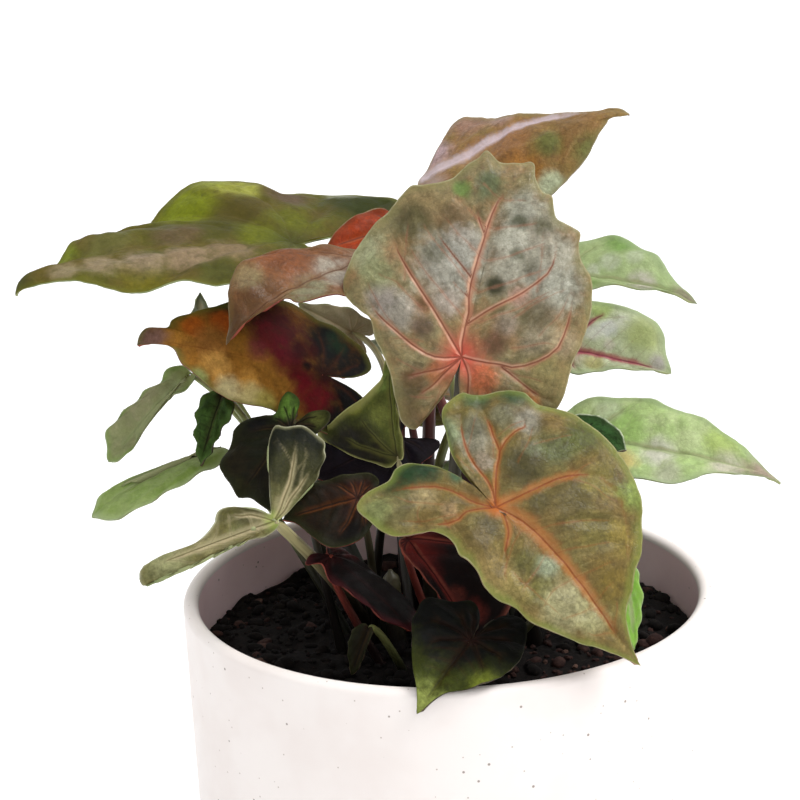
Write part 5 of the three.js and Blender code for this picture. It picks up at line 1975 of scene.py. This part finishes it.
        (4.4, -15.2), (5.3, -21, 141), (-11, -17.4, 152.2), fold=(15, -3), cup=(0, -4), basal=((), (40, 70)),
        cell=0.6, stalk=StalkKind.PALE,
    ),
    Leaf(
        "leaf_left_dark", "leaf_dark", LEFT_DARK, (-38.7, -18, 174.3), (-52, -25, 158.7),
        (-.3, -.81, .51),
        ((18, .93), (28, .88), (40, .7), (54, .63), (70, .5), (88, .28), (106, .28), (122, .38),
            (138, .46), (158, .36)),
        ((10, .92), (28, 1.02), (40, .93), (54, .73), (70, .5), (100, .32), (130, .46), (152, .48),
            (166, .3)),
        (-26.4, -7.6), (-30.2, -9, 118.6), (-37.8, -17.6, 167.9), cell=0.6, ruffle=0.7, stalk=StalkKind.DARK,
    ),
    Leaf(
        "leaf_middle_dark", "leaf_dark", MIDDLE_DARK, (-22.3, -32, 160), (-40.6, -36, 156.4),
        (-.1, -.75, .65),
        ((18, .81), (28, .69), (40, .52), (60, .4), (88, .34), (130, .38), (158, .38)),
        ((10, .84), (40, .8), (54, .74), (70, .66), (88, .51), (110, .4), (138, .5), (156, .46)),
        (-19.8, -3.8), (-19.3, -8.4, 110.9), (-17.8, -21.3, 142.4), cell=0.6, stalk=StalkKind.DARK,
    ),
    Leaf(
        "leaf_arched_red", "leaf_red", ARCHED, (-29, -33, 145.5), (-9.4, -44, 129.3), (.2, -.5, .84),
        ((10, .75), (18, .5), (50, .24), (100, .12), (122, .24), (150, .17)),
        ((14, .98), (28, .96), (42, .9), (56, .62), (88, .48), (120, .24), (140, .17)),
        (-13.2, -15.2), (-18.8, -21.8, 113.1), (-34.3, -28.1, 144.6), fold=(-10, -25), cup=(-20, -30),
        cell=0.6, stalk=StalkKind.RED,
    ),
    Leaf(
        "leaf_under_red", "leaf_red", UNDER, (-10.1, -32, 148.7), (6, -46, 127), (.32, -.79, .53), NARROW,
        ((18, .98), (28, .94), (40, .8), (54, .6), (80, .4), (110, .34), (140, .44), (156, .4)),
        (2.2, -11.4), (-2.8, -18.4, 115), (-13.4, -26.3, 146.3), cell=0.6, stalk=StalkKind.RED,
    ),
    Leaf(
        "leaf_front_low", "leaf_dark", FRONT_LOW, (3.6, -60, 133.2), (-9.5, -74, 121.5), (.1, -.5, .86),
        ((10, .8), (28, .68), (70, .62), (88, .66), (106, .66), (126, .52), (152, .48), (166, .32)),
        ((10, .71), (40, .57), (88, .56), (122, .58), (138, .62), (154, .62), (170, .5)),
        (-2.2, -19), (.7, -30.6, 114), (2.9, -52.4, 130.1), 1.6, bend=15, hook=20, cell=0.55,
        stalk=StalkKind.RED,
    ),
    Leaf(
        "leaf_right_upper", "leaf_green", RIGHT_UPPER, (30.2, 5, 205.9), (65, -6, 199.8), (.2, -.61, .76),
        ((1.2, .88), (4, .66), (12, .38), (54, .22), (90, .16), (122, .3), (148, .36)),
        ((1.6, .92), (5, .83), (18, .7), (28, .61), (40, .55), (54, .45), (80, .3), (110, .26),
            (145, .36)),
        (6.6, 3.8), (13, .1, 140.4), (20.4, 13.4, 191.1), 1.8, bend=25, hook=30, cell=0.65, ruffle=0.7,
    ),
    Leaf(
        "leaf_right_middle", "leaf_green", RIGHT_MIDDLE, (33.7, 30, 180.5), (63.9, 30, 172.4),
        (.21, -.83, .52),
        ((10, .54), (30, .36), (54, .28), (80, .22), (122, .3), (146, .38)),
        ((10, .93), (18, .92), (28, .87), (40, .73), (70, .5), (100, .36), (138, .44), (156, .4)),
        (10, 9.8), (-.4, 13.1, 144.5), (32.7, -4.5, 174.6), 1.6, cell=0.65, stalk=StalkKind.RED,
    ),
    Leaf(
        "leaf_right_lower", "leaf_green", RIGHT_LOWER, (35.8, -10, 166.2), (83.4, -24, 157.8),
        (.15, -.7, .7),
        ((1.2, .9), (5, .71), (18, .55), (28, .43), (44, .3), (70, .23), (100, .22), (130, .34),
            (152, .36)),
        ((1.6, .92), (4.5, .84), (12, .72), (30, .48), (54, .33), (88, .24), (122, .21), (152, .17)),
        (17.6, 0), (23.4, -1, 117.4), (34.7, -5.2, 158.5), 1.9, hook=20, cell=0.65, ruffle=0.7,
    ),
    Leaf(
        "leaf_right_sliver", "leaf_green", RIGHT_SLIVER, (40.4, -42, 146.4), (43.3, -52, 126.1),
        (.5, -.7, .5), LANCE,
        ((18, .52), (40, .28), (106, .12)),
        (2.2, -19), (9.4, -27.9, 112.1), (34, -34.9, 145.1), basal=((), ()),
    ),
    Leaf(
        "leaf_low_small", "leaf_dark", DARK_GREEN_IN_SHADE, (-20.6, -42, 129.9), (-25.1, -46, 119.2),
        (-.31, -.93, .21), LANCE, STRAP, (-8.8, -15.2), (-12.3, -22.5, 108.9), (-17.6, -36.3, 128.8),
        basal=((), ()),
    ),
    Leaf(
        "leaf_pale_back", "leaf_pale", PALE, (-23.6, 36, 185.5), (-37.8, 32, 194.8), (-.2, -.9, .4), SLIM,
        SLIM, (-18, 11.4), (-25.7, 19.6, 125.7), (-.2, -13.5, 187.5), stalk=StalkKind.PALE,
    ),
    Leaf(
        "leaf_left_behind", "leaf_pale", LEFT_BEHIND, (-62.8, 30, 184.6), (-64.2, 28, 199.6),
        (-.2, -.9, .4), LANCE, LANCE, (-15.4, 19), (-32.8, 21.1, 134.8), (-61, 38.5, 169.7),
        basal=((), ()),
    ),
    Leaf(
        "leaf_left_wavy", "leaf_dark", LEFT_WAVY, (-56.9, 0, 178.3), (-63, -6, 161.4), (-.41, -.82, .41),
        LANCE,
        ((10, .78), (20, .51), (54, .35), (75, .25), (120, .12)),
        (-17.6, 15.2), (-26.3, 12, 114.9), (-53.3, 14.7, 174.8), basal=((), ()), ruffle=0.9,
    ),
    Leaf(
        "leaf_shaded", "leaf_dark", SHADED, (-12.3, -2, 166), (-33.1, -10, 158.4), (-.1, -.8, .6),
        ((18, .92), (30, .76), (50, .5), (75, .32), (110, .3), (145, .44)),
        ((18, .85), (40, .71), (60, .52), (88, .44), (130, .46), (152, .46)),
        (-4.4, -15.2), (-13.9, -22.2, 123.7), (-11.2, -5.3, 163.7), stalk=StalkKind.DARK,
    ),
    Leaf(
        "leaf_right_dark", "leaf_dark", RIGHT_DARK, (30.3, -34, 173.1), (43.1, -38, 172.1), (.1, -.8, .6),
        LANCE,
        ((18, .89), (40, .72), (70, .6), (100, .5), (138, .42), (156, .36)),
        (8.8, -15.2), (21.7, -30.6, 131.1), (22.6, -22.4, 157.3), stalk=StalkKind.DARK,
    ),
    Leaf(
        "leaf_back_1", "leaf_olive", OLIVE, (8, 36, 166), (24, 78, 144), (.2, .6, .9), ARROW, ARROW,
        (4.4, 7.6), (-4, 4, 143.9), (-6, 32.4, 143.5), 1.9, bend=25, cell=1.0,
    ),
    Leaf(
        "leaf_back_2", "leaf_olive", BACK_2, (-20, 34, 160), (-48, 72, 142), (-.3, .5, .9), ARROW, ARROW,
        (0, 22.8), (-12.1, 19.1, 107.4), (4.7, 21.4, 148.7), 1.9, bend=25, cell=1.0,
    ),
    Leaf(
        "leaf_back_3", "leaf_green", BACK_3, (22, 20, 146), (42, 58, 128), (.3, .4, .9), ARROW, ARROW,
        (17.6, 7.6), (16.8, 9.9, 111.4), (18, 13.8, 137.3), 1.8, bend=25, cell=1.0,
    ),
    Leaf(
        "leaf_back_4", "leaf_olive", BACK_4, (-8, 36, 140), (-16, 82, 131), (0, .5, .9), ARROW, ARROW,
        (4.4, 22.8), (3.1, 25.8, 109.2), (-7.1, 29.5, 130), 1.8, bend=25, cell=1.0, stalk=StalkKind.RED,
    ),
    Leaf(
        "leaf_back_5", "leaf_olive", BACK_5, (-4, 42, 196), (-18, 78, 186), (0, .3, 1), ARROW, ARROW,
        (-8.8, 7.6), (-12.5, -6.1, 131.4), (-13.8, 14.8, 191.5), 1.9, bend=35, cell=1.0, stalk=StalkKind.RED,
    ),
    Leaf(
        "leaf_back_6", "leaf_green", BACK_6, (-6, 50, 178), (-14, 88, 164), (-.1, .3, .9), SLIM, SLIM,
        (3.2, 2.4), (-11.4, -14.1, 123.8), (18.7, 5.2, 183.5), 1.9, bend=30, cell=1.0,
    ),
)


# ---- stage


@dataclass
class Studio:
    """A pale floor, a white room that is brighter above and behind, a window's sun, a lamp and the camera.

    eye is the camera's place in millimetres, pitch how far it looks down and roll how far it leans, in
    degrees, as is the sun's width. The floor's size and the sheen lamp's place, aim and size are in metres.
    """

    floor_size: float = 14.0
    eye: Point = (-10.964, -473.549, 307.464)
    pitch: float = 15.558
    roll: float = 1.902
    lens: float = 85.5
    sensor: float = 36.0
    bright_side: Point = (0.2, 0.75, 0.65)
    bright: float = 1.03
    dim: float = 0.42
    sun_from: Point = (0.6, -0.2, 1.0)
    sun_width: float = 28.0
    sun: float = 2.1
    sheen_from: Point = (0.15, -0.95, 0.72)
    sheen_aim: Point = (0.0, 0.0, 0.17)
    sheen_size: float = 0.3
    sheen: float = 1.6

    DIM_END, BRIGHT_END = -0.5, 0.35  # cosine to the bright side where the room is dimmest and brightest

    def floor(self) -> None:
        """Lays the floor."""
        bm = bmesh.new()
        bmesh.ops.create_grid(bm, x_segments=1, y_segments=1, size=self.floor_size / 2)
        mesh = bpy.data.meshes.new("floor")
        bm.to_mesh(mesh)
        bm.free()
        # Plain matt paper, so nothing on it draws the eye.
        shader = Shader("pale_floor", "#f7f7f8")
        shader.dress(shader.clouds(40.0), depth=0.01, rough=0.8, gloss=0.2)
        mesh.materials.append(shader.material)
        floor = bpy.data.objects.new("floor", mesh)
        bpy.context.scene.collection.objects.link(floor)

    def sky(self) -> World:
        """Makes a white room, brightest above and behind the plant and dimmer in front of it.

        Returns:
            The room.
        """
        world = bpy.data.worlds.new("white_room")
        world.use_nodes = True
        tree = world.node_tree
        tree.nodes.clear()
        inputs = {0: add_node(tree, "ShaderNodeTexCoord").outputs["Generated"]}
        inputs[1] = Vector(self.bright_side).normalized()
        facing = add_node(tree, "ShaderNodeVectorMath", inputs, operation="DOT_PRODUCT").outputs["Value"]
        inputs = {"Value": facing, "From Min": self.DIM_END, "From Max": self.BRIGHT_END}
        inputs |= {"To Min": self.dim, "To Max": self.bright}
        strength = add_node(tree, "ShaderNodeMapRange", inputs, interpolation_type="SMOOTHSTEP").outputs[0]
        room = add_node(tree, "ShaderNodeBackground", {"Color": linear("#ffffff"), "Strength": strength})
        add_node(tree, "ShaderNodeOutputWorld", {"Surface": room.outputs[0]})
        return world

    def lights(self) -> None:
        """Sets the room, a soft sun through a wide window and a small lamp that gives leaves their sheen."""
        scene = bpy.context.scene
        scene.world = self.sky()
        scene.view_settings.view_transform = "Standard"
        data = bpy.data.lights.new("window", "SUN")
        data.energy = self.sun
        data.angle = math.radians(self.sun_width)
        window = bpy.data.objects.new("window", data)
        window.rotation_euler = Vector(self.sun_from).to_track_quat("Z", "Y").to_euler()
        scene.collection.objects.link(window)
        data = bpy.data.lights.new("sheen", "AREA")
        data.size = self.sheen_size
        data.energy = self.sheen
        data.color = linear("#ffffff")[:3]
        lamp = bpy.data.objects.new("sheen", data)
        lamp.location = self.sheen_from
        way = Vector(self.sheen_aim) - Vector(self.sheen_from)
        lamp.rotation_euler = way.to_track_quat("-Z", "Y").to_euler()
        scene.collection.objects.link(lamp)

    def camera(self) -> None:
        """Places the camera in front of the plant, looking down a little."""
        tilt, turn = math.radians(self.pitch), math.radians(self.roll)
        ahead = Vector((0.0, math.cos(tilt), -math.sin(tilt)))
        right = Vector((1.0, 0.0, 0.0))
        up = right.cross(ahead)
        turned_right = math.cos(turn) * right - math.sin(turn) * up
        turned_up = math.sin(turn) * right + math.cos(turn) * up
        data = bpy.data.cameras.new("camera")
        data.sensor_width = self.sensor
        data.lens = self.lens
        data.clip_start = 0.01
        data.clip_end = 50.0
        camera = bpy.data.objects.new("camera", data)
        frame_of_camera = Matrix((turned_right, turned_up, -ahead)).transposed().to_4x4()
        camera.matrix_world = Matrix.Translation(Vector(self.eye) * MM) @ frame_of_camera
        bpy.context.scene.collection.objects.link(camera)
        bpy.context.scene.camera = camera


def main() -> None:
    """Builds the stage, then every piece of the plant."""
    logging.basicConfig(level=logging.INFO, format="%(message)s")
    studio = Studio()
    studio.camera()
    studio.lights()
    studio.floor()
    _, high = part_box("pot")
    pot = Pot(height=high.z / MM, radius=high.x / MM)
    pot.build()
    low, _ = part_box("soil")
    soil = Soil(radius=pot.outer(SOIL_LEVEL) - pot.wall - SOIL_GAP, bottom=low.z / MM)
    soil.bed()
    soil.scatter()
    for stem in STEMS:
        stem.build()
    for count, leaf in enumerate(LEAVES):
        LeafBuilder(leaf, seed=1.7 * count).build()
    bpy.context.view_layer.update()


if __name__ == "__main__":
    main()
